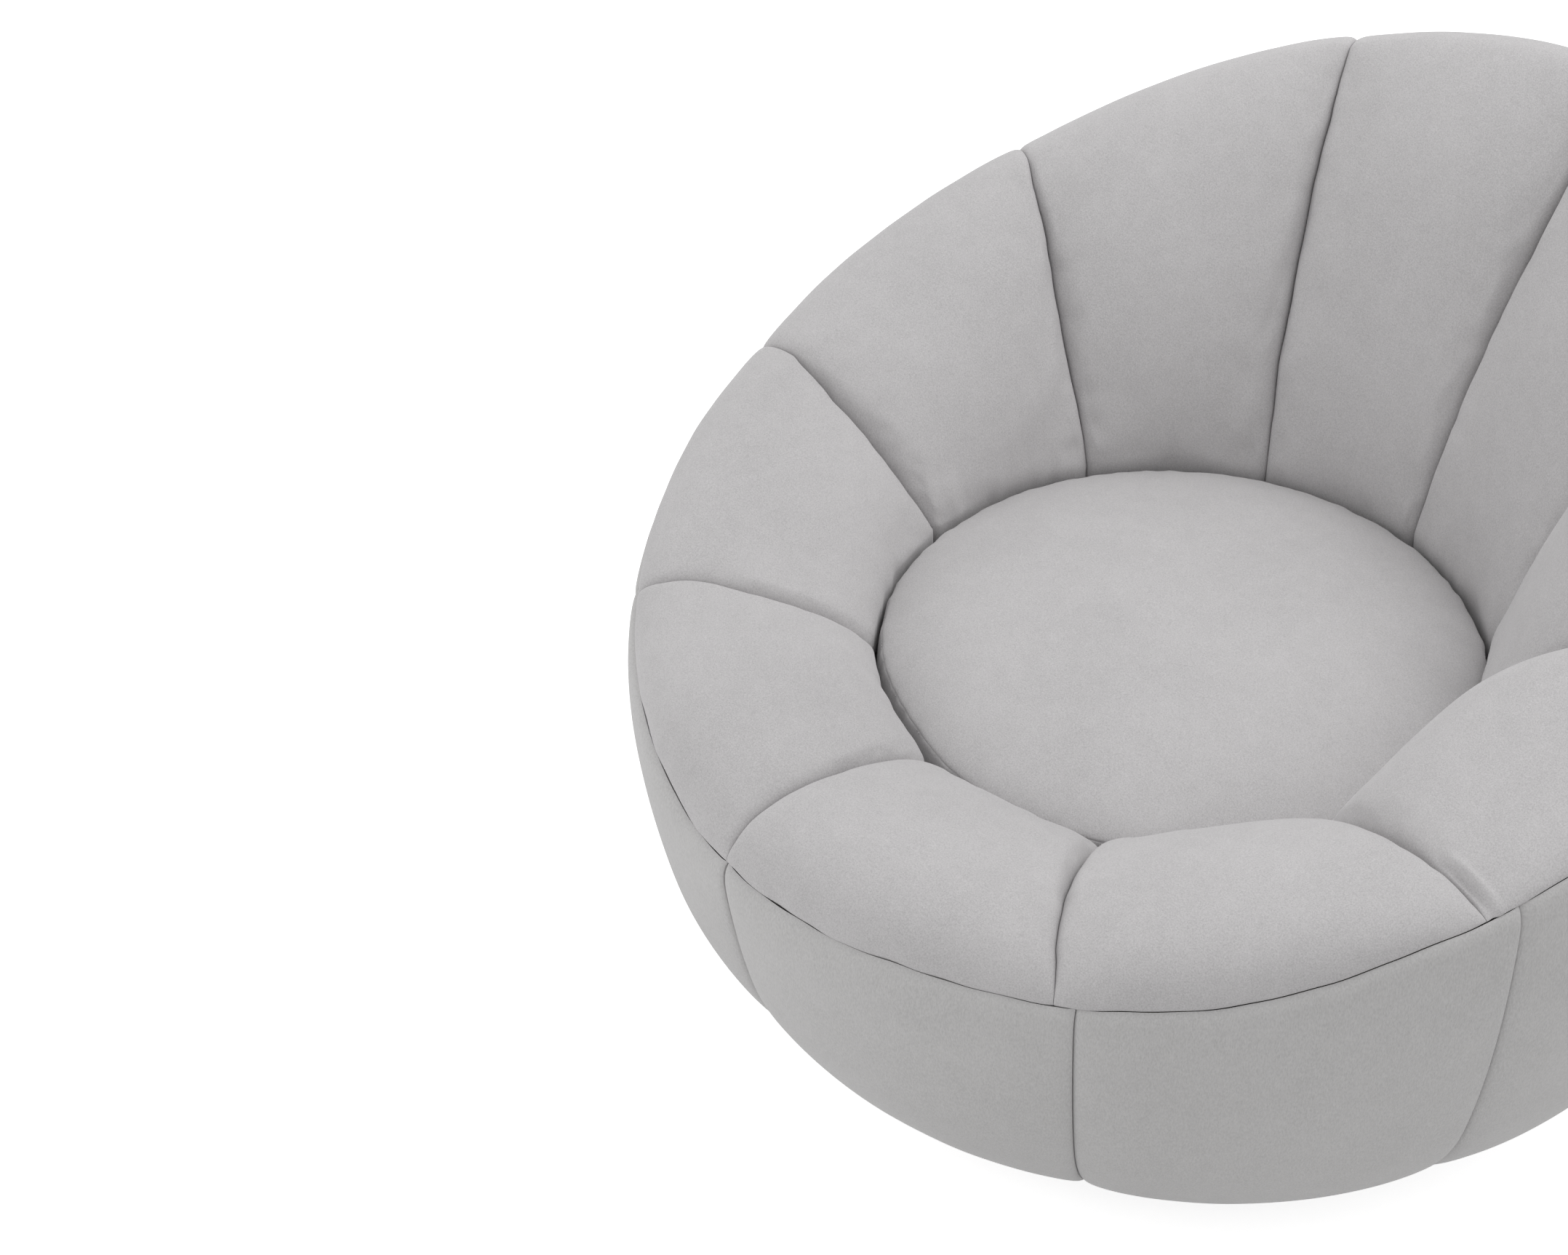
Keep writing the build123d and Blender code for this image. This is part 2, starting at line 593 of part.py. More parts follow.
with BuildPart() as dust_cover:
    with BuildSketch(Plane.XY.offset(TUCK_BOTTOM - LAY_GAP - DUST_SKIN)):
        with Locations((0, SHELL_Y)):
            Circle(BOARD_RADIUS - DUST_MARGIN)
        Circle(UPPER_PLATE_RADIUS + DUST_PLATE_GAP, mode=Mode.SUBTRACT)
    extrude(amount=DUST_SKIN)
dust_cover.part.label = "dust_cover"
export_step(dust_cover.part, "parts/dust_cover.step")

# Swivel bearing: two grooved plates, a ring of balls in a cage, a flanged bush that holds them together
with BuildPart() as swivel_lower_plate:
    with BuildSketch(Plane.XY.offset(BASE_TOP)):
        Circle(LOWER_PLATE_RADIUS)
        Circle(BUSH_RADIUS + HOLE_GAP, mode=Mode.SUBTRACT)
        with PolarLocations(BASE_SCREW_CIRCLE, BASE_SCREWS):
            Circle(BASE_SCREW + LAY_GAP, mode=Mode.SUBTRACT)
    extrude(amount=PLATE_THICK)
    with Locations((0, 0, RACE_MID)):
        Torus(RACE_RADIUS, GROOVE_RADIUS, mode=Mode.SUBTRACT)
swivel_lower_plate.part.label = "swivel_lower_plate"
export_step(swivel_lower_plate.part, "parts/swivel_lower_plate.step")

with BuildPart() as swivel_upper_plate:
    with BuildSketch(Plane.XY.offset(UPPER_BOTTOM)):
        Circle(UPPER_PLATE_RADIUS)
        Circle(BUSH_RADIUS + RUN_GAP, mode=Mode.SUBTRACT)
        with PolarLocations(BOLT_CIRCLE, BOLTS):
            Circle(BOLT_RADIUS + LAY_GAP, mode=Mode.SUBTRACT)
    extrude(amount=PLATE_THICK)
    with Locations((0, 0, RACE_MID)):
        Torus(RACE_RADIUS, GROOVE_RADIUS, mode=Mode.SUBTRACT)
swivel_upper_plate.part.label = "swivel_upper_plate"
export_step(swivel_upper_plate.part, "parts/swivel_upper_plate.step")

with BuildPart() as bearing_balls:
    with Locations((0, 0, RACE_MID)):
        with PolarLocations(RACE_RADIUS, BALLS):
            Sphere(BALL_RADIUS)
bearing_balls.part.label = "bearing_balls"
export_step(bearing_balls.part, "parts/bearing_balls.step")

with BuildPart() as ball_cage:
    with BuildSketch(Plane.XY.offset(RACE_MID - CAGE_THICK / 2)):
        Circle(RACE_RADIUS + CAGE_WIDTH / 2)
        Circle(RACE_RADIUS - CAGE_WIDTH / 2, mode=Mode.SUBTRACT)
        with PolarLocations(RACE_RADIUS, BALLS):
            Circle(BALL_RADIUS + POCKET_PLAY, mode=Mode.SUBTRACT)
    extrude(amount=CAGE_THICK)
ball_cage.part.label = "ball_cage"
export_step(ball_cage.part, "parts/ball_cage.step")

with BuildPart() as pivot_bush:
    with BuildSketch(Plane.XZ):
        with BuildLine():
            bush_low = BASE_TOP - HOLE_GAP
            bush_high = BOARD_BOTTOM + 2 * LAY_GAP + WASHER_THICK
            Polyline(
                (BUSH_BORE, bush_low - BUSH_FLANGE_THICK),
                (BUSH_FLANGE, bush_low - BUSH_FLANGE_THICK),
                (BUSH_FLANGE, bush_low),
                (BUSH_RADIUS, bush_low),
                (BUSH_RADIUS, bush_high),
                (BUSH_FLANGE, bush_high),
                (BUSH_FLANGE, bush_high + BUSH_FLANGE_THICK),
                (BUSH_BORE, bush_high + BUSH_FLANGE_THICK),
                close=True,
            )
        make_face()
    revolve(axis=Axis.Z)
pivot_bush.part.label = "pivot_bush"
export_step(pivot_bush.part, "parts/pivot_bush.step")

with BuildPart() as pivot_washer:
    with BuildSketch(Plane.XY.offset(BOARD_BOTTOM + LAY_GAP)):
        Circle(BUSH_FLANGE)
        Circle(BUSH_RADIUS + LAY_GAP, mode=Mode.SUBTRACT)
    extrude(amount=WASHER_THICK)
pivot_washer.part.label = "pivot_washer"
export_step(pivot_washer.part, "parts/pivot_washer.step")

# Bolts up through the upper plate into tee nuts in the bottom board
with BuildPart() as seat_bolts:
    with BuildSketch(Plane.XY.offset(UPPER_BOTTOM - HOLE_GAP - BOLT_HEAD_THICK)):
        with PolarLocations(BOLT_CIRCLE, BOLTS):
            RegularPolygon(BOLT_HEAD_RADIUS, 6)
    extrude(amount=BOLT_HEAD_THICK)
    with BuildSketch(Plane.XY.offset(UPPER_BOTTOM - HOLE_GAP - BOLT_HEAD_THICK / 2)):
        with PolarLocations(BOLT_CIRCLE, BOLTS):
            Circle(BOLT_RADIUS)
    extrude(amount=BOLT_HEAD_THICK / 2 + PLATE_THICK + BOARD_THICK + TEE_FLANGE_THICK + BACKING_GAP)
seat_bolts.part.label = "seat_bolts"
export_step(seat_bolts.part, "parts/seat_bolts.step")

with BuildPart() as tee_nuts:
    with BuildSketch(Plane.XY.offset(BOARD_TOP + HOLE_GAP)):
        with PolarLocations(BOLT_CIRCLE, BOLTS):
            Circle(TEE_FLANGE_RADIUS)
    extrude(amount=TEE_FLANGE_THICK)
    with BuildSketch(Plane.XY.offset(BOARD_TOP - TEE_BARREL)):
        with PolarLocations(BOLT_CIRCLE, BOLTS):
            Circle(TEE_RADIUS)
    extrude(amount=TEE_BARREL + TEE_FLANGE_THICK)
    with BuildSketch(Plane.XY.offset(BOARD_TOP - BOARD_THICK)):
        with PolarLocations(BOLT_CIRCLE, BOLTS):
            Circle(BOLT_RADIUS + HOLE_GAP)
    extrude(amount=2 * BOARD_THICK, mode=Mode.SUBTRACT)
tee_nuts.part.label = "tee_nuts"
export_step(tee_nuts.part, "parts/tee_nuts.step")

# Base disc with eased edges, a hole under the pivot, screw holes and glide sockets
with BuildPart() as base_disc:
    with BuildSketch(Plane.XY.offset(GLIDE_HEIGHT)):
        Circle(BASE_RADIUS)
        Circle(BUSH_FLANGE + BASE_HOLE_MARGIN, mode=Mode.SUBTRACT)
        with PolarLocations(BASE_SCREW_CIRCLE, BASE_SCREWS):
            Circle(BASE_SCREW + HOLE_GAP, mode=Mode.SUBTRACT)
    extrude(amount=BASE_THICK)
    with BuildSketch(Plane.XY.offset(GLIDE_HEIGHT)):
        with PolarLocations(GLIDE_CIRCLE, GLIDES):
            Circle(GLIDE_PIN + HOLE_GAP)
    extrude(amount=GLIDE_PIN_LENGTH + BACKING_GAP, mode=Mode.SUBTRACT)
    rounds = base_disc.edges().filter_by(GeomType.CIRCLE).group_by(SortBy.RADIUS)[-1]
    fillet(rounds, BASE_ROUND)
base_disc.part.label = "base_disc"
export_step(base_disc.part, "parts/base_disc.step")

with BuildPart() as base_screws:
    with BuildSketch(Plane.XY.offset(LOWER_TOP + HOLE_GAP)):
        with PolarLocations(BASE_SCREW_CIRCLE, BASE_SCREWS):
            Circle(BASE_SCREW_HEAD)
    extrude(amount=BASE_SCREW_HEAD_THICK)
    with BuildSketch(Plane.XY.offset(LOWER_TOP - BASE_SCREW_LENGTH)):
        with PolarLocations(BASE_SCREW_CIRCLE, BASE_SCREWS):
            Circle(BASE_SCREW)
    extrude(amount=BASE_SCREW_LENGTH + BASE_SCREW_HEAD_THICK / 2)
base_screws.part.label = "base_screws"
export_step(base_screws.part, "parts/base_screws.step")

# Glides, flat under, with a pin each into the base disc
with BuildPart() as floor_glides:
    with BuildSketch(Plane.XY):
        with PolarLocations(GLIDE_CIRCLE, GLIDES):
            Circle(GLIDE_RADIUS)
    extrude(amount=GLIDE_HEIGHT - HOLE_GAP)
    with BuildSketch(Plane.XY.offset(GLIDE_HEIGHT / 2)):
        with PolarLocations(GLIDE_CIRCLE, GLIDES):
            Circle(GLIDE_PIN)
    extrude(amount=GLIDE_HEIGHT / 2 + GLIDE_PIN_LENGTH)
floor_glides.part.label = "floor_glides"
export_step(floor_glides.part, "parts/floor_glides.step")
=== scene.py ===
import json
import math

import bmesh
import bpy
import numpy as np
from mathutils import Matrix, Vector, noise


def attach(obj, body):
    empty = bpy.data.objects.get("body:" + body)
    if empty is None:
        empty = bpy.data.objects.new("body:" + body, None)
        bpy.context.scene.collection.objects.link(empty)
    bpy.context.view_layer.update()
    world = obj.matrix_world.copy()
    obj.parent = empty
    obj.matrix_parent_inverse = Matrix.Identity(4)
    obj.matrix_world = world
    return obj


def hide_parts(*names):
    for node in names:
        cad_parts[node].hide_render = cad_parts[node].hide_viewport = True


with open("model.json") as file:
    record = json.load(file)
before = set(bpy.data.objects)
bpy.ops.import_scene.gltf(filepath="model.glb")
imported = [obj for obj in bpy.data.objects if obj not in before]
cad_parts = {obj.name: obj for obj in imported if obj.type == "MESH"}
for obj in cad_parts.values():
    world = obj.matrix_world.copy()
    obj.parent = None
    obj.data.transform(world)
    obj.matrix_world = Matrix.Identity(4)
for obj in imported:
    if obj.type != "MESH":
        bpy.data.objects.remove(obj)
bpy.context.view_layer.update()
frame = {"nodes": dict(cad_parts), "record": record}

# Driving sizes in metres. The chair faces -Y, with the swivel axis at the origin. Angles are in degrees
# from the front about the shell's centre, positive towards +X, and lists run by seam or bay that way.
# Pad seams: angle at the rim, lean at the lip, bow in between, rise of the top, change of squareness.
PAD_SEAMS = [0.0, 37.5, 75.0, 109.0, 145.0, 180.8, 216.2, 253.6, 287.8, 322.6, 360.0]
SEAM_LEAN = [0.0, 0.4, -2.6, 0.0, 0.0, 1.2, -1.0, -3.5, -1.2, 2.4]
SEAM_BOW = [0.0, -1.9, 0.0, 0.0, 0.0, 0.2, 1.0, 1.1, 1.5, 1.6]
SEAM_CREST = [0.0, 0.0, 0.0, 0.0, 0.0, 0.0, 0.003, 0.010, 0.004, 0.005]
SEAM_SQUARE_SHIFT = [0.0, 0.0, 0.0, 0.0, 0.0, 0.0, 0.0, 0.0, -0.20, 0.0]
PANEL_SEAMS = [0.0, 39.5, 78.0, 111.5, 146.5, 180.0, 213.5, 248.5, 282.5, 320.5, 360.0]

# Shell: the rim and well circles, and the height and run of the rim and of the pads' tops
RIM_RADIUS = 0.510
WELL_RADIUS = 0.275
WELL_FORWARD = 0.024
SHELL_Y = -0.0061
WELL_Y = SHELL_Y - WELL_FORWARD
RIM_MEAN, RIM_SWING, RIM_LIFT = 0.508, 0.174, 0.021
CREST_MEAN, CREST_SWING, CREST_LIFT = 0.521, 0.1815, 0.0605
CREST_RUN, CREST_RUN_LIFT = 0.042, 0.018
FRONT_RUN = 0.022
SEAM_GAP, PANEL_SEAM_GAP = 0.02, 0.02

# Sections of the pads by bay: crown of the top over its seams, how square the curves are from lip to
# top and from top to rim, in mid pad and at the seams, and how far a pad leans over the cushion
TOP_CROWN = [0.022, 0.024, 0.014, 0.010, 0.009, 0.009, 0.016, 0.022, 0.022, 0.021]
SEAM_TOP_CROWN = 0.0035
INNER_SQUARE = [1.95, 2.2, 2.9, 2.05, 1.55, 1.48, 1.5, 1.84, 1.84, 2.0]
LIP_BULGE = [0.0, 0.0, 0.0, 0.012, 0.0, 0.0, 0.0, 0.0, 0.0, 0.0]
LIP_BULGE_RISE = 0.030
OUTER_SQUARE = 2.2
SEAM_SQUARE_MEAN, SEAM_SQUARE_SWING, SEAM_OUTER_SQUARE = 1.28, 0.14, 2.1

# Fullness across a bay: powers of a pad's broad crown and of its rounded edges, and of a panel's crown
PAD_CROWN_SHARE, PAD_CROWN_POWERS, PAD_EDGE_POWERS = 0.62, (2.2, 0.9), (10, 0.5)
PANEL_CROWN_POWERS = (2.4, 0.62)

# Sections of the panels: knots as (radius, height), and what the crown adds to them
PANEL_CROWN, PANEL_BULGE, PANEL_SKIN = 0.009, 0.020, 0.018
SIDE_BULGE, SIDE_BULGE_AT, SIDE_BULGE_REACH = 0.004, 52.0, 26.0
KNEE = (0.490, 0.211)
HIP = (0.459, 0.138)
KNEE_FULL, HIP_FULL, HIP_DROP = 0.9, 0.75, 0.3
KNEE_INSET_RISE, HIP_INSET, HIP_INSET_RISE = 0.2, 0.82, 0.6
FOOT_GAP, TUCK_EASE = 0.002, 0.02
BOARD_RADIUS, BOARD_TOP = 0.350, 0.066
TUCK_RADIUS, TUCK_BOTTOM, TUCK_TOP = 0.318, 0.0456, 0.0476
RIM_GAP = 0.0001

# Frame behind the covers, and the gaps to it
RAIL_MEAN, RAIL_OUTER, RAIL_INNER = 0.494, 0.488, 0.440
RAIL_SLOPE = RIM_SWING / RIM_RADIUS
RING_TOP, RING_WIDTH_OUT = 0.258, 0.036
SOFT_GAP, WELL_GAP, BACKING_GAP = 0.0004, 0.0003, 0.001

# Cushion: the shares belong to the round of its lower edge, the shifts are (angle, reach, distance)
CUSHION_RADIUS, CUSHION_BOTTOM, CUSHION_EDGE, CUSHION_TOP = 0.2735, 0.273, 0.358, 0.410
CUSHION_ROUND, ROUND_UNDER, ROUND_INSET, ROUND_RISE = 0.020, 0.7, 0.15, 0.6
CUSHION_SEAM, CUSHION_SEAM_INSET, CUSHION_DOME, CUSHION_TILT = 0.356, 0.004, 0.75, 0.003
CUSHION_SHIFTS = [(-12.0, 15.0, -0.0060), (-55.0, 18.0, 0.0022)]
CUSHION_GROOVE, SEAM_GROOVE_REACH, LOW_GROOVE_REACH = 0.0016, 0.0014, 0.0018
TOP_GATHER, SIDE_GATHER, CUSHION_GATHER_REACH = 0.0013, 0.0022, 0.018
GATHER_TURNS, GATHER_SIZE, FINE_GATHER_SIZE, FINE_GATHER_SHARE = 5.2, 0.35, 0.17, 0.7
CUSHION_SWELL, CUSHION_SWELL_SIZE, CUSHION_SWELL_EASE = 0.0025, 0.16, 0.05
UNDER_FLAT = 0.004
STITCH_STEP, STITCH_LENGTH, STITCH_THICK = 0.0042, 0.0030, 0.0006
STITCH_INSET, STITCH_DROP, STITCH_TILT_SHARE = 0.0045, 0.0022, 0.98

# Deck pad, with its edge as (inset, rise), and dust cover
DECK_RADIUS, DECK_BOTTOM, DECK_TOP = 0.274, 0.2626, 0.2726
DECK_ROUND = 0.003
DECK_EDGE = [(0.0008, 0.0015), (0.0, 0.0050), (0.0008, 0.0082)]
DECK_DIP, DECK_DIP_RADIUS, DECK_DIP_POWER = 0.002, 0.2, 1.5
DECK_LUMP, DECK_LUMP_SIZE, DECK_SKIN = 0.0006, 0.05, 0.001
COVER_RADIUS, COVER_HOLE, COVER_TOP, COVER_SAG, COVER_STAPLES = 0.336, 0.155, 0.0455, 0.0012, 24
COVER_UPPER, COVER_LOWER = 0.0002, 0.0007
POLE = 0.002

SIDE_NAMES = ["front", "front_corner", "arm", "rear_corner", "back"]
BAY_NAMES = ["left_" + n for n in SIDE_NAMES] + ["right_" + n for n in reversed(SIDE_NAMES)]
BAYS = len(BAY_NAMES)

# Seams: how far the cloth is pulled in, and how soon it comes back
PAD_SINK, PAD_SINK_REACH = 0.0065, 0.0030
ROLL_START, ROLL_LENGTH, ROLL_SINK_SHARE = 0.03, 0.05, 0.55
RIM_FADE, RIM_FADE_SHARE = 0.022, 0.15
RIM_SINK, RIM_SINK_REACH = 0.0015, 0.0021
PANEL_RIM_SINK, PANEL_RIM_REACH = 0.0007, 0.0016
PANEL_SINK, PANEL_SINK_REACH = 0.0022, 0.0025
PANEL_STEP, PANEL_STEP_REACH = 0.0020, 0.0075
PANEL_ROLL, PANEL_ROLL_RISE, PANEL_ROLL_REACH = 0.0082, 0.0090, 0.09
LIP_DRAW = 0.004

# Sewing by hand: waves of the rim seam as (height, turns, phase), its lifts as (angle, height) with the
# angles that they are spread over, and sway of the pad seams in degrees
RIM_WAVES = [(0.0007, 17, 0.4), (0.0006, 31, 2.1), (0.0003, 67, 0.9)]
RIM_LIFTS = [
    (0, -0.003), (10, 0.004), (25, 0.010), (35, 0.006), (42, -0.001), (56, -0.001), (66, 0.009),
    (78, 0.009), (90, 0.006), (120, 0.002), (160, 0.0), (300, 0.0), (335, 0.003), (360, -0.003),
]
RIM_LIFT_SPREAD = (-6, -3, 0, 3, 6)
SEAM_SWAY, SEAM_SWAY_STEP = 0.28, 0.050
FINE_SWAY_SHARE, FINE_SWAY_SIZE = 0.4, 0.4
STEADY_FOOT, STEADY_REACH = 0.06, 0.05
BOW_POWER = 1.4

# Settling of the covers: slack, hold of the filling, pressure, stiffness, frames and the most a point
# moves, then where the small folds are kept
CLOTH_SLACK, CLOTH_HOLD, CLOTH_PRESSURE, CLOTH_BENDING = 0.012, 0.10, 1.5, 0.1
CLOTH_MASS, CLOTH_STRETCH, CLOTH_SHEAR, CLOTH_QUALITY = 0.25, 20, 8, 6
CLOTH_FRAMES, CLOTH_CAP, CLOTH_BROAD = 18, 0.003, 14
FOLD_REACH, FOLD_ROLL_LOSS, FOLD_EASE, FOLD_BLUR = 0.022, 0.8, 3, 3
SHEET_ROW_STEP, SHEET_COLUMN_STEP = 2, 3

# Drawn cloth: puckers beside the seams, gathers over the lip, and slow swells as (height, size, seed)
PUCKER, PUCKER_STEP, PUCKER_REACH, PUCKER_EDGE, PUCKER_ROLL_LOSS = 0.0031, 0.024, 0.010, 0.003, 0.7
LIP_GATHER, LIP_GATHER_TURN, LIP_GATHER_RISE, LIP_GATHER_EDGE = 0.0018, 0.3, 0.028, 0.02
PUCKER_BAY_STEP, GATHER_BAY_STEP, SWAY_SEAM_STEP = 5.1, 2.3, 3.7
SWELL_EASE = 0.03
PAD_SWELLS = [(0.0012, 0.11, 1), (0.0003, 0.04, 20)]
PANEL_SWELLS = [(0.0010, 0.13, 40), (0.0003, 0.05, 60)]

# One tuck beside a seam near the rim: its place along the seam, and its ridge and dent as (height,
# distance from the seam, width)
FOLD_BAY, FOLD_AT, FOLD_LENGTH = 2, 0.038, 0.030
FOLD_RIDGE, FOLD_DENT = (0.0036, 0.0115, 0.0036), (0.0048, 0.0055, 0.0026)

# Step of the noise from one seed to the next
SEED_STEP = (7.31, 3.17, 5.73)

# Grids: rows along the sections and columns across, and how tightly the rows are packed
FOOT_ROWS, INNER_ROWS, OUTER_ROWS, OUTER_PACKING = 6, 66, 44, 1.8
PAD_ACROSS = 105
PANEL_SPANS, PANEL_PACKING = [64, 46, 6], 1.6
PANEL_ACROSS = 89
UNDER_ROWS, ROUND_ROWS, SIDE_ROWS, SIDE_PACKING, DOME_ROWS = 16, 10, 34, 1.7, 115
CUSHION_ACROSS = 300
DECK_UNDER_ROWS, DECK_TOP_ROWS, DECK_ACROSS = 24, 50, 160
COVER_RINGS, COVER_ACROSS = 14, 144
CURVE_STEPS = 241


# Direction outwards at an angle
def facing(t):
    a = np.radians(t)
    return np.sin(a), -np.cos(a)


def rim_height(t):
    a = np.radians(t)
    c = np.cos(a)
    wave = sum(height * np.sin(turns * a + phase) for height, turns, phase in RIM_WAVES)
    at, lifts = zip(*RIM_LIFTS)
    near = [np.interp((np.asarray(t) + k) % 360, at, lifts) for k in RIM_LIFT_SPREAD]
    return RIM_MEAN - RIM_SWING * c + RIM_LIFT * c * c + wave + sum(near) / len(near)


def crest_height(t):
    c = np.cos(np.radians(t))
    return CREST_MEAN - CREST_SWING * c + CREST_LIFT * c * c


# Upright section from the well circle to the rim circle: start, direction and length
def run_of(t):
    dx, dy = facing(t)
    ax, ay = WELL_RADIUS * dx, WELL_RADIUS * dy - WELL_FORWARD
    ex, ey = RIM_RADIUS * dx - ax, RIM_RADIUS * dy - ay
    length = np.hypot(ex, ey)
    return ax, ay, ex / length, ey / length, length


# How far along that section a circle about the shell's centre is met
def run_at(rho, t):
    ax, ay, ux, uy, _ = run_of(t)
    b = ax * ux + ay * uy
    return -b + np.sqrt(b * b - (ax * ax + ay * ay - rho * rho))


# Height of the sloping top rail
def rail_top(s, t):
    _, ay, _, uy, _ = run_of(t)
    return RAIL_MEAN + RAIL_SLOPE * (ay + s * uy)


# How full a panel is across
def panel_fullness(v):
    inner, outer = PANEL_CROWN_POWERS
    return (1 - np.abs(v) ** inner) ** outer


# How full a pad is across: a broad crown with rounded edges at the seams
def pad_fullness(v):
    crown, edge = [
        (1 - np.abs(v) ** inner) ** outer for inner, outer in (PAD_CROWN_POWERS, PAD_EDGE_POWERS)
    ]
    return PAD_CROWN_SHARE * crown + (1 - PAD_CROWN_SHARE) * edge


# Angles across a bay, from one seam at v = -1 to the next at v = 1
def bay_angle(seams, i, v, gap):
    start, end = seams[i] + gap, seams[i + 1] - gap
    return (start + end) / 2 + v * (end - start) / 2


# Middle of a chord, pushed to its left
def bow(p, q, bulge):
    d = q - p
    side = np.stack([-d[..., 1], d[..., 0]], -1) / np.linalg.norm(d, axis=-1, keepdims=True)
    return (p + q) / 2 + side * np.asarray(bulge)[..., None]


def arc_centre(p, m, q):
    a, b = m - p, q - p
    cross = 2 * (a[..., 0] * b[..., 1] - a[..., 1] * b[..., 0])
    cross = np.where(np.abs(cross) < 1e-10, 1e-10, cross)
    a2, b2 = (a * a).sum(-1), (b * b).sum(-1)
    x = (b[..., 1] * a2 - a[..., 1] * b2) / cross
    y = (a[..., 0] * b2 - b[..., 0] * a2) / cross
    return p + np.stack([x, y], -1)


# Middle of the arc that runs on smoothly at p from an arc about the centre given, and ends at q
def smooth_mid(p, centre, q):
    n = centre - p
    n = n / np.linalg.norm(n, axis=-1, keepdims=True)
    d = q - p
    radius = (d * d).sum(-1) / (2 * (d * n).sum(-1))
    c = p + radius[..., None] * n
    w = (p + q) / 2 - c
    return c + w * (np.abs(radius) / np.linalg.norm(w, axis=-1))[..., None]


# Steps along the arc through three points, the end left out, as rows; ease above 1 packs them at the start
def arc_rows(p, m, q, steps, ease=1.0):
    c = arc_centre(p, m, q)
    radius = np.linalg.norm(p - c, axis=-1)
    a0 = np.arctan2(p[..., 1] - c[..., 1], p[..., 0] - c[..., 0])
    am = np.arctan2(m[..., 1] - c[..., 1], m[..., 0] - c[..., 0])
    a1 = np.arctan2(q[..., 1] - c[..., 1], q[..., 0] - c[..., 0])
    left = (am - a0) % (2 * np.pi) < np.pi
    sweep = np.where(left, (a1 - a0) % (2 * np.pi), -((a0 - a1) % (2 * np.pi)))
    rows = []
    for k in range(steps):
        a = a0 + sweep * (k / steps) ** ease
        rows.append(c + radius[..., None] * np.stack([np.cos(a), np.sin(a)], -1))
    return rows


# Rows along a quarter of a squared ellipse, column by column, from upright at p to level at q, or back
def quarter_rows(p, q, square, shares, level_first=False):
    a = np.linspace(0, np.pi / 2, CURVE_STEPS)[:, None]
    grow, fade = np.sin(a) ** (2 / square), np.cos(a) ** (2 / square)
    if level_first:
        grow, fade = 1 - fade, 1 - grow
    x = q[:, 0] - (q[:, 0] - p[:, 0]) * fade
    z = p[:, 1] + (q[:, 1] - p[:, 1]) * grow
    step = np.hypot(np.diff(x, axis=0), np.diff(z, axis=0))
    run = np.concatenate([np.zeros((1, x.shape[1])), np.cumsum(step, 0)])
    rows = np.empty((len(shares), x.shape[1], 2))
    for k in range(x.shape[1]):
        at = shares * run[-1, k]
        rows[:, k, 0] = np.interp(at, run[:, k], x[:, k])
        rows[:, k, 1] = np.interp(at, run[:, k], z[:, k])
    return rows


# Left normal of each column's section curve
def section_normal(rows):
    d = np.gradient(rows, axis=0)
    n = np.stack([-d[..., 1], d[..., 0]], -1)
    return n / (np.linalg.norm(n, axis=-1, keepdims=True) + 1e-12)


# Distance along each column from its first row
def run_length(rows):
    step = np.linalg.norm(np.diff(rows, axis=0), axis=-1)
    return np.concatenate([np.zeros((1, rows.shape[1])), np.cumsum(step, 0)])


# Smooth noise at every point, between about -1 and 1
def field(points, size, seed):
    flat = points.reshape(-1, 3) / size
    shift = Vector([seed * step for step in SEED_STEP])
    values = [noise.noise(Vector(p) + shift) for p in flat]
    return np.array(values).reshape(points.shape[:-1])


# Section points in space: the pads' from the well circle, the panels' from the shell's centre
def on_section(rows, t):
    ax, ay, ux, uy, _ = run_of(t)
    return np.stack([ax + rows[..., 0] * ux, ay + rows[..., 0] * uy + SHELL_Y, rows[..., 1]], -1)


def on_axis(rows, t):
    dx, dy = facing(t)
    return np.stack([rows[..., 0] * dx, rows[..., 0] * dy + SHELL_Y, rows[..., 1]], -1)


# A value of each seam, carried across a bay from one seam to the next
def between_seams(values, bay, v):
    return values[bay] * (1 - v) / 2 + values[(bay + 1) % BAYS] * (1 + v) / 2


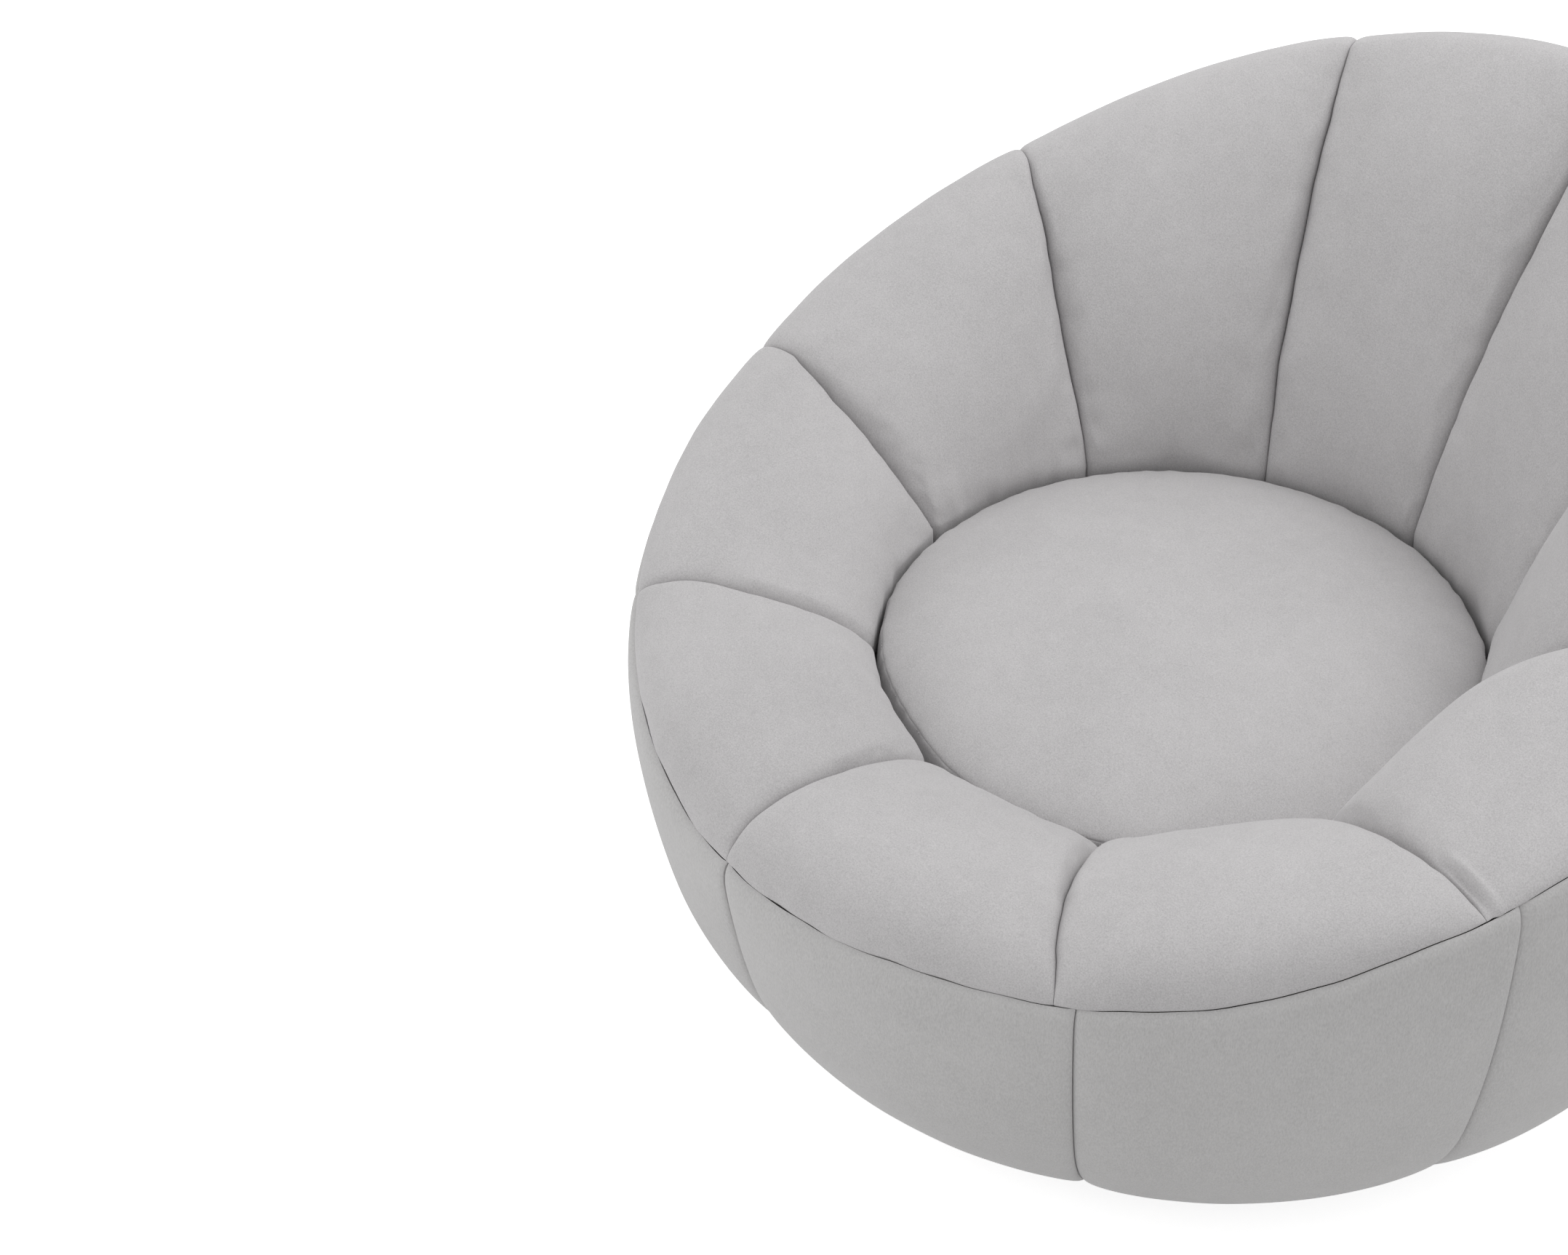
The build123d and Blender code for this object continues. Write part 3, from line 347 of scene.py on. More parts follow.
# Rows of a pad's section by column: foot, lip, top and rim, from the curves at its seams and mid pad
def pad_rows(t, v, bay):
    c = np.cos(np.radians(t))
    length = run_of(t)[4]
    zero = np.zeros_like(t)
    inner = np.arange(INNER_ROWS) / INNER_ROWS
    outer = 1 - (1 - np.arange(OUTER_ROWS + 1) / OUTER_ROWS) ** OUTER_PACKING
    rim = np.stack([length, rim_height(t)], -1)
    run = CREST_RUN + CREST_RUN_LIFT * c * c + FRONT_RUN * np.maximum(c, 0)
    seam_crown = SEAM_TOP_CROWN * (1 - c) + between_seams(SEAM_CREST, bay, v)
    seam_square = SEAM_SQUARE_MEAN + SEAM_SQUARE_SWING * c + between_seams(SEAM_SQUARE_SHIFT, bay, v)
    curves = []
    for draw, bulge, crown, square_in, square_out in (
        (LIP_DRAW, 0, seam_crown, seam_square, SEAM_OUTER_SQUARE),
        (0, LIP_BULGE[bay], TOP_CROWN[bay], INNER_SQUARE[bay], OUTER_SQUARE),
    ):
        lip = np.stack([WELL_GAP + draw + zero, CUSHION_EDGE + zero], -1)
        top = np.stack([length - run, crest_height(t) + crown], -1)
        foot = np.stack([WELL_GAP + draw + zero, RING_TOP + SOFT_GAP + zero], -1)
        rows = [foot + (lip - foot) * k / FOOT_ROWS for k in range(FOOT_ROWS)]
        rows = [np.array(rows), quarter_rows(lip, top, square_in, inner)]
        rise = (rows[1][..., 1] - CUSHION_EDGE) / LIP_BULGE_RISE
        rows[1][..., 0] -= bulge * rise * np.exp(1 - rise)
        rows.append(quarter_rows(top, rim, square_out, outer, True))
        curves.append(np.concatenate(rows))
    seam, middle = curves
    return seam + pad_fullness(v)[None, :, None] * (middle - seam)


# Closed mesh from rows of points: rows run round the section, columns across, with flat ends
def closed_grid(name, loops, hard_rows):
    count, across = loops.shape[:2]
    bm = bmesh.new()
    grid = [[bm.verts.new(p) for p in row] for row in loops]
    for r in range(count):
        a, b = grid[r], grid[(r + 1) % count]
        for k in range(across - 1):
            bm.faces.new((a[k], b[k], b[k + 1], a[k + 1]))
    bm.faces.new([row[0] for row in grid])
    bm.faces.new([row[-1] for row in reversed(grid)])
    bmesh.ops.recalc_face_normals(bm, faces=bm.faces)
    hard = [(grid[r][k], grid[r][k + 1]) for r in hard_rows for k in range(across - 1)]
    hard += [(grid[r][k], grid[(r + 1) % count][k]) for r in range(count) for k in (0, -1)]
    for f in bm.faces:
        f.smooth = True
    for pair in hard:
        bm.edges.get(pair).smooth = False
    return from_bmesh(name, bm)


def from_bmesh(name, bm):
    mesh = bpy.data.meshes.new(name)
    bm.to_mesh(mesh)
    bm.free()
    obj = bpy.data.objects.new(name, mesh)
    bpy.context.scene.collection.objects.link(obj)
    return obj


# Gives a piece its material and body, and hides the CAD nodes that it stands for
def dress(obj, material, body, slot, *nodes):
    obj.data.materials.clear()
    obj.data.materials.append(material)
    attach(obj, body)
    if nodes:
        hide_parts(*nodes)
    return obj


# Even spread of a field over a sheet's grid, by repeated averaging with the neighbours
def blurred(grid, rounds):
    for _ in range(rounds):
        for axis in (0, 1):
            pad = [(1, 1) if a == axis else (0, 0) for a in range(grid.ndim)]
            wide = np.pad(grid, pad, mode="edge")
            before = np.take(wide, range(0, wide.shape[axis] - 2), axis)
            after = np.take(wide, range(2, wide.shape[axis]), axis)
            grid = 0.5 * grid + 0.25 * (before + after)
    return grid


# Lets a sewn cover settle over its filling: the edges are held, the cloth is a little too large for
# them, and the filling presses from behind. Gives the small folds, without the broad form.
def settle(sheet):
    rows, across = sheet.shape[:2]
    bm = bmesh.new()
    grid = [[bm.verts.new(p) for p in row] for row in sheet]
    for a, b in zip(grid[:-1], grid[1:]):
        for k in range(across - 1):
            bm.faces.new((a[k], a[k + 1], b[k + 1], b[k]))
    obj = from_bmesh("settling_sheet", bm)
    hold = obj.vertex_groups.new(name="hold")
    for k in range(rows * across):
        r, c = divmod(k, across)
        edge = r in (0, rows - 1) or c in (0, across - 1)
        hold.add([k], 1.0 if edge else CLOTH_HOLD, "REPLACE")
    cloth = obj.modifiers.new("settle", "CLOTH")
    values = cloth.settings
    values.vertex_group_mass = "hold"
    values.pin_stiffness = 1.0
    values.quality = CLOTH_QUALITY
    values.mass = CLOTH_MASS
    values.tension_stiffness = CLOTH_STRETCH
    values.compression_stiffness = CLOTH_STRETCH
    values.shear_stiffness = CLOTH_SHEAR
    values.bending_stiffness = CLOTH_BENDING
    values.shrink_min = -CLOTH_SLACK
    values.use_pressure = True
    values.uniform_pressure_force = CLOTH_PRESSURE
    values.effector_weights.gravity = 0
    scene = bpy.context.scene
    cloth.point_cache.frame_start = 1
    cloth.point_cache.frame_end = CLOTH_FRAMES
    for k in range(1, CLOTH_FRAMES + 1):
        scene.frame_set(k)
    settled = obj.evaluated_get(bpy.context.evaluated_depsgraph_get()).to_mesh()
    points = np.array([tuple(p.co) for p in settled.vertices]).reshape(sheet.shape)
    scene.frame_set(1)
    bpy.data.objects.remove(obj)
    moved = points - sheet
    folds = moved - blurred(moved, CLOTH_BROAD)
    size = np.linalg.norm(folds, axis=-1, keepdims=True)
    return folds * np.minimum(1, CLOTH_CAP / (size + 1e-9))


# Values of a coarse grid at every row and column of a fine one, eased between
def refined(coarse, row_at, col_at, rows, across):
    flat = coarse.reshape(coarse.shape[0], coarse.shape[1], -1)
    wide = np.empty((rows, flat.shape[1], flat.shape[2]))
    for c in range(flat.shape[1]):
        for k in range(flat.shape[2]):
            wide[:, c, k] = np.interp(range(rows), row_at, flat[:, c, k])
    fine = np.empty((rows, across, flat.shape[2]))
    for r in range(rows):
        for k in range(flat.shape[2]):
            fine[r, :, k] = np.interp(range(across), col_at, wide[r, :, k])
    return blurred(fine, FOLD_BLUR).reshape(rows, across, *coarse.shape[2:])


# Small folds of a cover given as fine rows of points
def settled_folds(points):
    rows, across = points.shape[:2]
    row_at = np.unique(np.append(np.arange(0, rows, SHEET_ROW_STEP), rows - 1))
    col_at = np.unique(np.append(np.arange(0, across, SHEET_COLUMN_STEP), across - 1))
    folds = settle(points[np.ix_(row_at, col_at)])
    return refined(folds, row_at, col_at, rows, across)


# Lean, bow and sway of a pad seam in degrees, row by row, none at the rim
def seam_sway(seam, along):
    k = seam % BAYS
    steps = np.stack([along / SEAM_SWAY_STEP, 0 * along + SWAY_SEAM_STEP * k, 0 * along], -1)
    calm = np.clip(np.minimum(along - STEADY_FOOT, along[-1] - along) / STEADY_REACH, 0, 1)
    share = np.minimum(1, (along[-1] - along) / (along[-1] - along[FOOT_ROWS]))
    lean = SEAM_LEAN[k] * share + SEAM_BOW[k] * np.sin(np.pi * share**BOW_POWER)
    fine = FINE_SWAY_SHARE * SEAM_SWAY * field(steps, FINE_SWAY_SIZE, seed=95)
    return lean + calm * (SEAM_SWAY * field(steps, 1.0, seed=90) + fine)


# Distance of each point of a bay from its nearer seam
def seam_distance(points, v):
    half = np.linalg.norm(points[:, -1] - points[:, 0], axis=-1)[:, None] / 2
    return (1 - np.abs(v))[None, :] * half


# Slow swells of a bay's cover, one for each size
def swells(points, waves, bay):
    return [height * field(points, size, seed + bay) for height, size, seed in waves]


# Ridge and dent of the tuck
def tuck_push(v, from_seam, from_rim):
    beside = np.exp(-(((from_rim - FOLD_AT) / FOLD_LENGTH) ** 2)) * (v < 0)
    ridge, dent = [
        height * np.exp(-(((from_seam - middle) / width) ** 2))
        for height, middle, width in (FOLD_RIDGE, FOLD_DENT)
    ]
    return beside * (ridge - dent)


# How far a pad's cover stands off its plain section: sunk at the seams, puckered beside them, gathered
# over the lip, and swelling slowly in between
def pad_push(i, v, t, rows, flat, from_seam, roll, ease):
    along = run_length(rows)
    from_rim = along[-1] - along
    push = -PAD_SINK * (1 - (1 - ROLL_SINK_SHARE) * roll) * np.exp(-from_seam / PAD_SINK_REACH)
    push *= RIM_FADE_SHARE + (1 - RIM_FADE_SHARE) * np.minimum(1, from_rim / RIM_FADE)
    push -= RIM_SINK * np.exp(-from_rim / RIM_SINK_REACH)
    places = np.stack([along / PUCKER_STEP, 0 * along + np.sign(v) + PUCKER_BAY_STEP * i, 0 * along], -1)
    pinch = PUCKER * np.maximum(0, field(places, 1.0, seed=33))
    pinch = pinch * np.exp(-from_seam / PUCKER_REACH) * np.minimum(1, from_seam / PUCKER_EDGE)
    push -= pinch * (1 - PUCKER_ROLL_LOSS * roll)
    turns = np.stack([t * LIP_GATHER_TURN, 0 * t + GATHER_BAY_STEP * i, 0 * t], -1)
    above = np.abs(rows[..., 1] - CUSHION_EDGE)
    gather = LIP_GATHER * field(turns, 1.0, seed=47) * np.exp(-above / LIP_GATHER_RISE)
    push += gather * np.minimum(1, from_seam / LIP_GATHER_EDGE)
    if i == FOLD_BAY:
        push += tuck_push(v, from_seam, from_rim)
    for swell in swells(flat, PAD_SWELLS, i):
        push += ease * swell
    return push


# Back of a pad, along the top rail and down to the seat ring
def pad_back(t):
    s_out = run_at(RAIL_OUTER + 2 * BACKING_GAP, t)
    s_in = run_at(RAIL_INNER - 2 * BACKING_GAP, t)
    zero = np.zeros_like(t)
    return np.array([
        np.stack([s_out, rail_top(s_out, t) + BACKING_GAP], -1),
        np.stack([s_in, rail_top(s_in, t) + BACKING_GAP], -1),
        np.stack([zero + RING_WIDTH_OUT + BACKING_GAP, zero + RING_TOP + SOFT_GAP], -1),
    ])


# Inner pads
def make_pad(i, material):
    v = np.sin(np.linspace(-np.pi / 2, np.pi / 2, PAD_ACROSS))
    plain = bay_angle(PAD_SEAMS, i, v, SEAM_GAP)
    rows = pad_rows(plain, v, i)
    along = run_length(rows)
    near = (1 - v) / 2
    first_sway = seam_sway(i, along[:, 0])
    next_sway = seam_sway(i + 1, along[:, -1])
    t = plain + first_sway[:, None] * near**2 + next_sway[:, None] * (1 - near) ** 2
    flat = on_section(rows, t)
    from_seam = seam_distance(flat, v)
    from_rim = along[-1] - along
    top_row = FOOT_ROWS + INNER_ROWS
    roll = np.clip((along - along[top_row] + ROLL_START) / ROLL_LENGTH, 0, 1)
    ease = np.minimum(1, from_seam / SWELL_EASE) * np.minimum(1, from_rim / SWELL_EASE)
    push = pad_push(i, v, t, rows, flat, from_seam, roll, ease)
    rows = rows + section_normal(rows) * push[..., None]
    front = on_section(rows, t)
    above = np.abs(rows[..., 1] - CUSHION_EDGE)
    drawn = np.exp(-from_seam / FOLD_REACH) + np.exp(-above / FOLD_REACH)
    drawn = np.minimum(1, drawn) * np.minimum(1, ease * FOLD_EASE) * (1 - FOLD_ROLL_LOSS * roll)
    front += settled_folds(front) * drawn[..., None]
    back = pad_back(plain)
    foot_shift = first_sway[0] * near**2 + next_sway[0] * (1 - near) ** 2
    hind = plain + foot_shift * np.linspace(0, 1, len(back))[:, None]
    loops = np.concatenate([front, on_section(back, hind)])
    name = BAY_NAMES[i] + "_pad"
    hard = [0] + list(range(len(front) - 1, len(loops)))
    obj = closed_grid(name + "_cover", loops, hard)
    return dress(obj, material, "seat", "upholstery", name)


# Knots of a panel's section from rim to foot, on its face or set in by the thickness of its skin
def panel_knots(t, full, inset):
    zero = np.zeros_like(t)
    top = np.stack([RIM_RADIUS + zero, rim_height(t) - RIM_GAP], -1)
    knee = np.stack([KNEE[0] + KNEE_FULL * full, KNEE[1] + zero], -1)
    hip = np.stack([HIP[0] + HIP_FULL * full, HIP[1] - HIP_DROP * full], -1)
    foot = np.stack([BOARD_RADIUS + FOOT_GAP + zero, TUCK_BOTTOM + zero], -1)
    waist = smooth_mid(knee, arc_centre(knee, hip, foot), top)
    off = np.abs((t + 180) % 360 - 180) - SIDE_BULGE_AT
    limit = bow(top, knee, PANEL_BULGE + SIDE_BULGE * np.exp(-((off / SIDE_BULGE_REACH) ** 2)))
    waist = np.where((waist[:, 0] < limit[:, 0])[:, None], waist, limit)
    if not inset:
        return top, waist, knee, hip, foot
    edge = RAIL_OUTER + 2 * BACKING_GAP
    rail = RAIL_MEAN - RAIL_SLOPE * edge * np.cos(np.radians(t)) + BACKING_GAP
    share = (RIM_RADIUS - inset - edge) / (RIM_RADIUS - edge)
    height = rail + share * (top[:, 1] - rail) - 3 * BACKING_GAP
    return (
        np.stack([RIM_RADIUS - inset + zero, height], -1),
        waist - np.array([inset, 0]),
        knee + inset * np.array([-1, KNEE_INSET_RISE]),
        hip + inset * np.array([-HIP_INSET, HIP_INSET_RISE]),
        np.stack([BOARD_RADIUS + SOFT_GAP + zero, BOARD_TOP + BACKING_GAP + zero], -1),
    )


# Outer panels
def make_panel(i, material):
    v = np.sin(np.linspace(-np.pi / 2, np.pi / 2, PANEL_ACROSS))
    t = bay_angle(PANEL_SEAMS, i, v, PANEL_SEAM_GAP)
    full = panel_fullness(v) * PANEL_CROWN
    zero = np.zeros_like(t)
    top, waist, knee, hip, foot = panel_knots(t, full, 0)
    face_rows, turn_rows, tuck_rows = PANEL_SPANS
    rows = arc_rows(top, waist, knee, face_rows, PANEL_PACKING) + arc_rows(knee, hip, foot, turn_rows)
    tuck = np.stack([TUCK_RADIUS + zero, TUCK_BOTTOM + zero], -1)
    for k in range(tuck_rows + 1):
        rows.append(foot + (tuck - foot) * k / tuck_rows)
    rows = np.array(rows)
    flat = on_axis(rows, t)
    from_seam = seam_distance(flat, v)
    from_rim = run_length(rows)
    above_tuck = np.clip((rows[..., 1] - TUCK_BOTTOM) / TUCK_EASE, 0, 1)
    push = -PANEL_SINK * np.exp(-from_seam / PANEL_SINK_REACH)
    push -= PANEL_STEP * np.exp(-from_seam / PANEL_STEP_REACH) * (v < 0)
    push -= PANEL_RIM_SINK * np.exp(-from_rim / PANEL_RIM_REACH)
    push += PANEL_ROLL * (1 - np.exp(-from_rim / PANEL_ROLL_RISE)) * np.exp(-from_rim / PANEL_ROLL_REACH)
    ease = np.minimum(1, from_seam / SWELL_EASE) * np.minimum(1, from_rim / SWELL_EASE)
    for swell in swells(flat, PANEL_SWELLS, i):
        push += ease * swell
    rows = rows + section_normal(rows) * (push * above_tuck)[..., None]
    in_top, in_waist, in_knee, in_hip, in_foot = panel_knots(t, full, PANEL_SKIN)
    back = np.array([
        np.stack([TUCK_RADIUS + zero, TUCK_TOP + zero], -1),
        np.stack([BOARD_RADIUS + SOFT_GAP + zero, TUCK_TOP + zero], -1),
        in_foot, in_hip, in_knee, in_waist, in_top,
    ])
    loops = on_axis(np.concatenate([rows, back]), t)
    name = BAY_NAMES[i] + "_panel"
    hard = [0] + list(range(len(rows) - 1, len(loops)))
    obj = closed_grid(name + "_cover", loops, hard)
    return dress(obj, material, "seat", "upholstery", name)


# Closed round piece from a profile, with a small flat at each end on its axis; shape moves the points
def turned(name, profile, across, centre_y, shape):
    a = np.linspace(0, 2 * np.pi, across, endpoint=False)
    r, z = profile[:, 0][:, None], profile[:, 1][:, None]
    points = shape(np.stack([r * np.sin(a), -r * np.cos(a), z + 0 * a], -1), profile, a)
    points = points + np.array([0, centre_y, 0])
    bm = bmesh.new()
    grid = [[bm.verts.new(p) for p in row] for row in points]
    for k in range(across):
        n = (k + 1) % across
        for low, high in zip(grid[:-1], grid[1:]):
            bm.faces.new((low[k], low[n], high[n], high[k]))
    bm.faces.new(list(reversed(grid[0])))
    bm.faces.new(grid[-1])
    bmesh.ops.recalc_face_normals(bm, faces=bm.faces)
    for f in bm.faces:
        f.smooth = True
    return from_bmesh(name, bm)


# Half section of the cushion from the middle of its underside round to the middle of its top
def cushion_profile():
    q = CUSHION_ROUND
    r = CUSHION_RADIUS
    under = np.array([r - ROUND_UNDER * q, CUSHION_BOTTOM])
    low = np.array([r - ROUND_INSET * q, CUSHION_BOTTOM + ROUND_RISE * q])
    seam = np.array([r - CUSHION_SEAM_INSET, CUSHION_SEAM])
    rows = [
        np.array([POLE + k / UNDER_ROWS * (under[0] - POLE), CUSHION_BOTTOM]) for k in range(UNDER_ROWS)
    ]
    rows += arc_rows(under, bow(under, low, -ROUND_INSET * q), low, ROUND_ROWS)
    low_row = len(rows)
    side = arc_rows(seam, np.array([r, (low[1] + seam[1]) / 2]), low, SIDE_ROWS, SIDE_PACKING)
    rows += [low] + side[:0:-1]
    seam_row = len(rows)
    out = np.cos(np.linspace(0, np.pi / 2, DOME_ROWS)[:-1])
    out = np.append(out[out * seam[0] > 3 * POLE], POLE / seam[0])
    for share in out:
        rise = (1 - share**2) ** CUSHION_DOME
        rows.append(np.array([share * seam[0], seam[1] + rise * (CUSHION_TOP - seam[1])]))
    return np.array(rows), low_row, seam_row


# Where the cushion's edge stands off its circle, as a share of its radius
def cushion_shift(a):
    total = 0 * a
    for middle, reach, size in CUSHION_SHIFTS:
        off = (np.degrees(a) - middle + 180) % 360 - 180
        total = total + size / CUSHION_RADIUS * np.exp(-((off / reach) ** 2))
    return total


# Seat cushion
def make_cushion(material):
    profile, low_row, seam_row = cushion_profile()
    side = section_normal(profile[:, None, :])[:, 0]
    along = run_length(profile[:, None, :])[:, 0]
    from_seam = np.abs(along - along[seam_row])
    from_low = np.abs(along - along[low_row])

    def shape(points, rows, a):
        outward = np.stack([
            -side[:, 0][:, None] * np.sin(a), side[:, 0][:, None] * np.cos(a), -side[:, 1][:, None] + 0 * a
        ], -1)
        grooves = np.exp(-from_seam / SEAM_GROOVE_REACH) + np.exp(-from_low / LOW_GROOVE_REACH)
        groove = -CUSHION_GROOVE * grooves[:, None] + 0 * a
        top = (np.arange(len(rows)) > seam_row)[:, None]
        drawn = np.exp(-np.minimum(from_seam, from_low) / CUSHION_GATHER_REACH)[:, None]
        gather = np.where(top, TOP_GATHER, SIDE_GATHER) * drawn
        ring = np.stack([np.sin(a) * GATHER_TURNS, np.cos(a) * GATHER_TURNS, 0 * a], -1)
        fine = FINE_GATHER_SHARE * field(ring, FINE_GATHER_SIZE, seed=72)
        ripple = (field(ring, GATHER_SIZE, seed=71) + fine)[None, :]
        swell = CUSHION_SWELL * field(points, CUSHION_SWELL_SIZE, seed=5)
        swell = swell * np.clip(from_seam / CUSHION_SWELL_EASE, 0, 1)[:, None]
        free = rows[:, 1][:, None] > CUSHION_BOTTOM + UNDER_FLAT
        tilt = np.clip((rows[:, 1] - CUSHION_BOTTOM) / (CUSHION_SEAM - CUSHION_BOTTOM), 0, 1)
        points[..., 2] += CUSHION_TILT * (tilt * rows[:, 0] / CUSHION_RADIUS)[:, None] * np.cos(a)
        points[..., :2] *= (1 + cushion_shift(a) * (rows[:, 0] / CUSHION_RADIUS)[:, None] ** 3)[..., None]
        return points + outward * (free * (groove + gather * ripple + swell))[..., None]

    obj = turned("seat_cushion_cover", profile, CUSHION_ACROSS, WELL_Y, shape)
    return dress(obj, material, "cushion", "upholstery", "seat_cushion")


# Thread along the cushion's seam, as short stitches
def make_stitches(material):
    bm = bmesh.new()
    radius = CUSHION_RADIUS - STITCH_INSET
    count = round(2 * math.pi * radius / STITCH_STEP)
    for k in range(count):
        a = 2 * math.pi * k / count
        z = CUSHION_SEAM - STITCH_DROP + CUSHION_TILT * math.cos(a) * STITCH_TILT_SHARE
        reach = radius * (1 + float(cushion_shift(a)))
        place = Vector((reach * math.sin(a), WELL_Y - reach * math.cos(a), z))
        turn = Matrix.Translation(place) @ Matrix.Rotation(a, 4, "Z")
        turn = turn @ Matrix.Diagonal((STITCH_LENGTH / 2, STITCH_THICK, STITCH_THICK, 1))
        bmesh.ops.create_icosphere(bm, subdivisions=1, radius=1.0, matrix=turn)
    for f in bm.faces:
        f.smooth = True
    return dress(from_bmesh("seat_cushion_stitches", bm), material, "cushion", "upholstery")


# Stretched lining under the bottom board, with a hole for the swivel and slack ripples between its staples
def make_dust_cover(material):
    across = COVER_ACROSS
    a = np.linspace(0, 2 * np.pi, across, endpoint=False)
    share = np.linspace(0, 1, COVER_RINGS)[:, None]
    reach = np.hypot(COVER_RADIUS * np.sin(a), COVER_RADIUS * np.cos(a) - SHELL_Y)
    radius = COVER_HOLE + share * (reach - COVER_HOLE)
    x, y = radius * np.sin(a), -radius * np.cos(a)
    sag = COVER_SAG * np.sin(np.pi * share) ** 2 * (1 + np.cos(COVER_STAPLES * a) * share)
    lower = np.stack([x, y, COVER_TOP - COVER_LOWER - sag], -1)
    upper = np.stack([x, y, COVER_TOP - COVER_UPPER - sag], -1)
    points = np.concatenate([lower, upper[::-1]])
    bm = bmesh.new()
    grid = [[bm.verts.new(p) for p in row] for row in points]
    for r in range(len(grid)):
        low, high = grid[r], grid[(r + 1) % len(grid)]
        for k in range(across):
            n = (k + 1) % across
            bm.faces.new((low[k], low[n], high[n], high[k]))
    bmesh.ops.recalc_face_normals(bm, faces=bm.faces)
    for f in bm.faces:
        f.smooth = True
    obj = from_bmesh("dust_cover_sheet", bm)
    return dress(obj, material, "seat", "lining", "dust_cover")


# Felt pad under the cushion, worn a little lower in the middle
def make_deck(material):
    flat = DECK_RADIUS - DECK_ROUND - POLE
    rows = [(POLE + k / DECK_UNDER_ROWS * flat, DECK_BOTTOM) for k in range(DECK_UNDER_ROWS + 1)]
    rows += [(DECK_RADIUS - inset, DECK_BOTTOM + rise) for inset, rise in DECK_EDGE]
    rows += [(POLE + k / DECK_TOP_ROWS * flat, DECK_TOP) for k in range(DECK_TOP_ROWS, -1, -1)]

    def shape(points, rows, a):
        dip = np.clip(1 - rows[:, 0] / DECK_DIP_RADIUS, 0, 1)[:, None] ** DECK_DIP_POWER * DECK_DIP
        lift = DECK_LUMP * (field(points, DECK_LUMP_SIZE, seed=9) - 1)
        upper = (rows[:, 1] > DECK_TOP - DECK_SKIN)[:, None]
        points[..., 2] += upper * (lift - dip)
        return points

    obj = turned("deck_pad_cover", np.array(rows), DECK_ACROSS, WELL_Y, shape)
    return dress(obj, material, "seat", "felt", "deck_pad")


# Materials: shorthand for the nodes of one material
class Nodes:
    def __init__(self, name):
        self.material = bpy.data.materials.new(name)
        self.material.use_nodes = True
        self.tree = self.material.node_tree
        self.shader = self.tree.nodes["Principled BSDF"]
        self.place = self.add("ShaderNodeTexCoord").outputs["Object"]

    def add(self, kind, **values):
        node = self.tree.nodes.new(kind)
        for key, value in values.items():
            setattr(node, key, value)
        return node

    def join(self, a, b):
        self.tree.links.new(a, b)

    def set(self, **values):
        for key, value in values.items():
            self.shader.inputs[key.replace("_", " ")].default_value = value

    def stretched(self, scale):
        mapping = self.add("ShaderNodeMapping")
        mapping.inputs["Scale"].default_value = scale
        self.join(self.place, mapping.inputs["Vector"])
        return mapping.outputs["Vector"]

    def noise(self, scale, detail=2.0, rough=0.5, place=None):
        node = self.add("ShaderNodeTexNoise")
        node.inputs["Scale"].default_value = scale
        node.inputs["Detail"].default_value = detail
        node.inputs["Roughness"].default_value = rough
        self.join(place or self.place, node.inputs["Vector"])
        return node.outputs["Fac"]

    def bands(self, axis, scale, distortion):
        node = self.add("ShaderNodeTexWave", wave_type="BANDS", bands_direction=axis)
        node.inputs["Scale"].default_value = scale
        node.inputs["Distortion"].default_value = distortion
        self.join(self.place, node.inputs["Vector"])
        return node.outputs["Fac"]

    def spread(self, value, low, high, start=0.3, end=0.7):
        node = self.add("ShaderNodeMapRange")
        node.inputs["From Min"].default_value = start
        node.inputs["From Max"].default_value = end
        node.inputs["To Min"].default_value = low
        node.inputs["To Max"].default_value = high
        self.join(value, node.inputs["Value"])
        return node.outputs["Result"]

    def math(self, operation, a, b):
        node = self.add("ShaderNodeMath", operation=operation)
        for socket, value in zip(node.inputs, (a, b)):
            if isinstance(value, (int, float)):
                socket.default_value = value
            else:
                self.join(value, socket)
        return node.outputs[0]

    def ramp(self, value, stops):
        node = self.add("ShaderNodeValToRGB")
        band = node.color_ramp
        while len(band.elements) < len(stops):
            band.elements.new(0.5)
        for element, (at, colour) in zip(band.elements, stops):
            element.position = at
            element.color = (*colour, 1)
        self.join(value, node.inputs["Fac"])
        return node.outputs["Color"]

    def bump(self, height, strength, distance):
        node = self.add("ShaderNodeBump")
        node.inputs["Strength"].default_value = strength
        node.inputs["Distance"].default_value = distance
        self.join(height, node.inputs["Height"])
        self.join(node.outputs["Normal"], self.shader.inputs["Normal"])

    def colour(self, value):
        self.join(value, self.shader.inputs["Base Color"])


def shade(colour, factor):
    return tuple(c * factor for c in colour)


# Short brushed pile: nap patches, mottling, fine fibre, and a grain along one direction
def pile_fabric(name, colour, grain, contrast):
    n = Nodes(name)
    patches = n.noise(6.0, detail=3.0, rough=0.55)
    mottle = n.noise(55.0, detail=3.0, rough=0.6)
    fibre = n.noise(800.0, detail=2.5, rough=0.65, place=n.stretched(grain))
    mix = n.math("ADD", n.spread(patches, -0.16, 0.16), n.spread(mottle, -0.08, 0.08))
    mix = n.math("ADD", mix, n.spread(fibre, 0.0, 1.0))
    dark, light = shade(colour, 1 - contrast), shade(colour, 1 + 0.85 * contrast)
    n.colour(n.ramp(mix, [(0.0, dark), (0.5, colour), (1.0, light)]))
    height = n.math("ADD", fibre, n.math("MULTIPLY", mottle, 0.6))
    n.bump(height, strength=0.3, distance=0.0007)
    n.set(Roughness=0.92, Specular_IOR_Level=0.2, Sheen_Weight=0.25, Sheen_Roughness=0.45)
    return n.material


# Mix of two values by their shares
def blend(n, first, share, second):
    return n.math("ADD", n.math("MULTIPLY", first, share), n.math("MULTIPLY", second, 1 - share))


